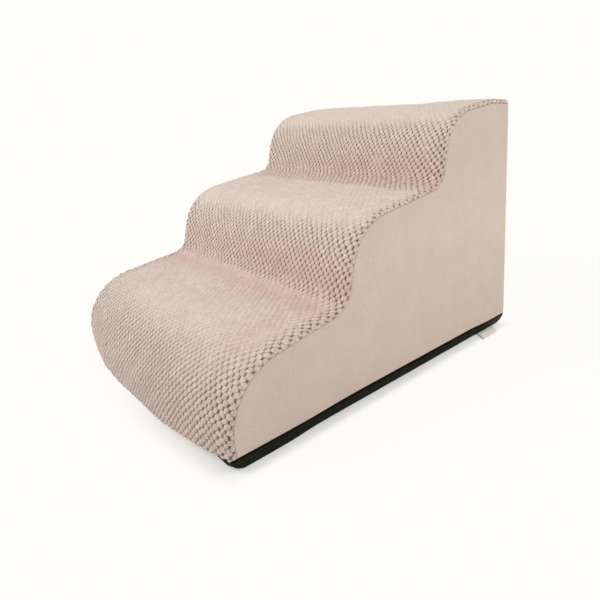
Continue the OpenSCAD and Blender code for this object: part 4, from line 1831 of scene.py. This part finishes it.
@dataclass
class Stitching:
    """Rows of short stitches that hold the zip to the back panel."""

    outline: Outline = OUTLINE
    pitch: float = 0.0034
    length: float = 0.0025
    thick: float = 0.00072
    slot: float = 0.014
    zip_margin: float = 0.030
    stop: float = 0.0033
    inset: float = 0.0060
    end_gap: float = 0.004

    def places(self) -> list[tuple[Vector, Vector]]:
        """Return the middle and direction of each stitch."""
        o = self.outline
        half = o.half - self.zip_margin + self.stop + self.inset
        high = o.foot + self.slot + self.inset
        made: list[tuple[Vector, Vector]] = []
        count = int(2 * half / self.pitch)
        for k in range(count):
            x = -half + (k + 0.5) * 2 * half / count
            made.append((Vector((x, o.back, high)), Vector((1, 0, 0))))
        rise = int((high - o.foot - self.end_gap) / self.pitch)
        for side in (-1, 1):
            for k in range(rise):
                z = high - (k + 0.5) * self.pitch
                made.append((Vector((side * half, o.back, z)), Vector((0, 0, 1))))
        return made

    def build(self, finish: Material) -> Object:
        """Build every stitch as one piece.

        Args:
            finish: The thread.

        Returns:
            The stitches.
        """
        mesh = bmesh.new()
        for middle, way in self.places():
            made = bmesh.ops.create_uvsphere(mesh, u_segments=6, v_segments=4, radius=0.5)["verts"]
            turn = way.to_track_quat("Z", "Y").to_matrix().to_4x4()
            size = Matrix.Diagonal((self.thick, self.thick, self.length, 1.0))
            bmesh.ops.transform(mesh, matrix=Matrix.Translation(middle) @ turn @ size, verts=made)
        made = piece("zip_topstitch", mesh, finish)
        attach(made, "stairs")
        return made


# ---- The studio ----------------------------------------------------------------------------


@dataclass(frozen=True)
class Viewpoint:
    """The photograph's viewing angle, solved from the seams and edges that it shows.

    Lengths in the picture are in pixels of a square picture.
    """

    place: Triple = (0.5800, -0.4470, 0.3206)
    yaw: float = 45.80
    pitch: float = 9.12
    roll: float = -1.39
    focal: float = 489.3
    middle: Span = (356.6, 204.5)
    size: float = 600.0
    sensor: float = 36.0
    clip: Span = (0.01, 50.0)

    def build(self) -> Object:
        """Make the camera and choose it."""
        yaw, pitch, roll = (math.radians(a) for a in (self.yaw, self.pitch, self.roll))
        flat, down = math.cos(pitch), math.sin(pitch)
        forward = Vector((-math.sin(yaw) * flat, math.cos(yaw) * flat, -down))
        level = Vector((math.cos(yaw), math.sin(yaw), 0))
        upright = level.cross(forward)
        right = level * math.cos(roll) + upright * math.sin(roll)
        up = upright * math.cos(roll) - level * math.sin(roll)
        lens = bpy.data.cameras.new("photo_lens")
        lens.sensor_width = self.sensor
        lens.lens = self.focal / self.size * self.sensor
        lens.shift_x = (self.size / 2 - self.middle[0]) / self.size
        lens.shift_y = (self.middle[1] - self.size / 2) / self.size
        lens.clip_start, lens.clip_end = self.clip
        camera = bpy.data.objects.new("photo_camera", lens)
        bpy.context.scene.collection.objects.link(camera)
        turn = Matrix((right, up, -forward)).transposed().to_4x4()
        camera.matrix_world = Matrix.Translation(self.place) @ turn
        bpy.context.scene.camera = camera
        return camera


@dataclass(frozen=True)
class Lamp:
    """A square soft lamp that faces the stairs."""

    name: str
    place: Triple
    size: float
    power: float
    target: Triple = (0.0, 0.0, 0.15)

    def build(self) -> Object:
        """Hang the lamp."""
        data = bpy.data.lights.new(self.name, "AREA")
        data.size = self.size
        data.energy = self.power
        lamp = bpy.data.objects.new(self.name, data)
        bpy.context.scene.collection.objects.link(lamp)
        aim = (Vector(self.target) - Vector(self.place)).to_track_quat("-Z", "Y")
        lamp.matrix_world = Matrix.Translation(self.place) @ aim.to_matrix().to_4x4()
        return lamp


@dataclass
class Studio:
    """A pale floor that runs into a pale background, under soft light.

    The floor takes the backdrop's own colour close round the foot, where its glow keeps the
    shade light, and again far off. A camera below the floor sees through it.
    """

    outline: Outline = OUTLINE
    backdrop: Colour = srgb(254, 253, 249)
    floor_tone: Colour = srgb(252, 251, 248)
    floor_size: float = 12.0
    world_strength: float = 0.62
    floor_glow: float = 0.95
    shade_glow: float = 0.38
    back_glow: float = 0.94
    shade_side: Span = (-0.08, 0.15)
    shade_back: Span = (0.20, 0.26)
    near: Span = (0.003, 0.017)
    far: Span = (0.3, 0.9)
    lamps: tuple[Lamp, ...] = (
        Lamp("key", (-1.2, -2.2, 1.9), 1.5, 45.0),
        Lamp("fill", (2.1, 1.3, 1.1), 1.8, 19.0),
        Lamp("top", (0.1, 0.4, 2.6), 2.2, 5.5),
        Lamp("rear", (-0.6, 2.4, 1.6), 2.0, 6.0),
    )

    def build(self) -> None:
        """Build the floor, the world and the lamps."""
        self._floor()
        self._world()
        for lamp in self.lamps:
            lamp.build()
        bpy.context.scene.view_settings.view_transform = "Standard"

    def _away(self, g: Graph, place: Source) -> Socket:
        """Return the distance over the floor from the stairs' foot."""
        o, split = self.outline, g.split(place)
        share = g.calc("DIVIDE", split["X"], o.half)
        bulge = g.times(g.calc("SUBTRACT", 1.0, g.times(share, share), clamp=True), o.crown)
        before = g.calc("SUBTRACT", g.calc("SUBTRACT", g.times(split["Y"], -1.0), bulge), o.back)
        after = g.calc("SUBTRACT", split["Y"], o.back)
        beside = g.calc("SUBTRACT", g.calc("ABSOLUTE", split["X"]), o.half)
        wide = g.calc("MAXIMUM", beside, 0.0)
        long = g.calc("MAXIMUM", g.calc("MAXIMUM", after, before), 0.0)
        return g.calc("SQRT", g.calc("ADD", g.times(wide, wide), g.times(long, long)))

    def _floor(self) -> None:
        """Lay the floor, which fades into the background a little way off."""
        mesh = bmesh.new()
        bmesh.ops.create_grid(mesh, x_segments=8, y_segments=8, size=self.floor_size)
        coat = Coat("studio_floor")
        g = coat.graph
        coat.set(Base_Color=self.floor_tone, Roughness=0.9, Specular_IOR_Level=0.1)
        away, split = self._away(g, coat.place), g.split(coat.place)
        side = g.spread(split["X"], *self.shade_side, self.floor_glow, self.shade_glow)
        back = g.spread(split["Y"], *self.shade_back, 0.0, self.back_glow)
        bright = g.calc("MAXIMUM", side, back)
        near = g.spread(away, *self.near, bright, self.floor_glow)
        clear = g.calc("MAXIMUM", near, g.spread(away, *self.far))
        glow = g.node("ShaderNodeEmission", Color=self.backdrop, Strength=1.0).outputs[0]
        mixed = g.mix(g.times(clear, g.seen()), coat.shader.outputs[0], glow)
        through = g.node("ShaderNodeBsdfTransparent").outputs[0]
        below = g.node("ShaderNodeNewGeometry").outputs["Backfacing"]
        end = coat.material.node_tree.nodes["Material Output"]
        g.feed(end.inputs["Surface"], g.mix(below, mixed, through))
        piece("studio_floor", mesh, coat.material)

    def _world(self) -> None:
        """Light the scene evenly and show the backdrop colour behind it."""
        world = bpy.data.worlds.new("soft_daylight")
        bpy.context.scene.world = world
        world.use_nodes = True
        g = Graph(world.node_tree)
        lit = world.node_tree.nodes["Background"]
        g.feed(lit.inputs["Color"], (1.0, 1.0, 1.0, 1.0))
        g.feed(lit.inputs["Strength"], self.world_strength)
        shown = g.node("ShaderNodeBackground", Color=self.backdrop, Strength=1.0)
        mixed = g.mix(g.seen(), lit.outputs[0], shown.outputs[0])
        g.feed(world.node_tree.nodes["World Output"].inputs["Surface"], mixed)


def dress_nodes(looks: Looks) -> None:
    """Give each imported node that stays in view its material."""
    for name, look in NODE_LOOKS.items():
        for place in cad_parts[name].material_slots:
            place.material = looks[look]
        log.info("dressed %s with %s", name, looks[look].name)


def main() -> None:
    """Build every piece in order."""
    logging.basicConfig(level=logging.INFO, format="%(name)s: %(message)s")
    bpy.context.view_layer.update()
    Viewpoint().build()
    effects = Effects()
    looks = {look: look.value.make(effects) for look in Look}
    dress_nodes(looks)
    made = [
        TreadCover().build(looks[Look.PLUSH]),
        *(VelvetPanel(face).build(looks[Look.VELVET]) for face in Face),
        Band().build(looks[Look.BAND]),
        SideLabel().build(looks[Look.LABEL]),
        Stitching().build(looks[Look.THREAD]),
    ]
    for obj in made:
        log.info("built %s with %d faces", obj.name, len(obj.data.polygons))
    Studio().build()
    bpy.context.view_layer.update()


if __name__ == "__main__":
    main()
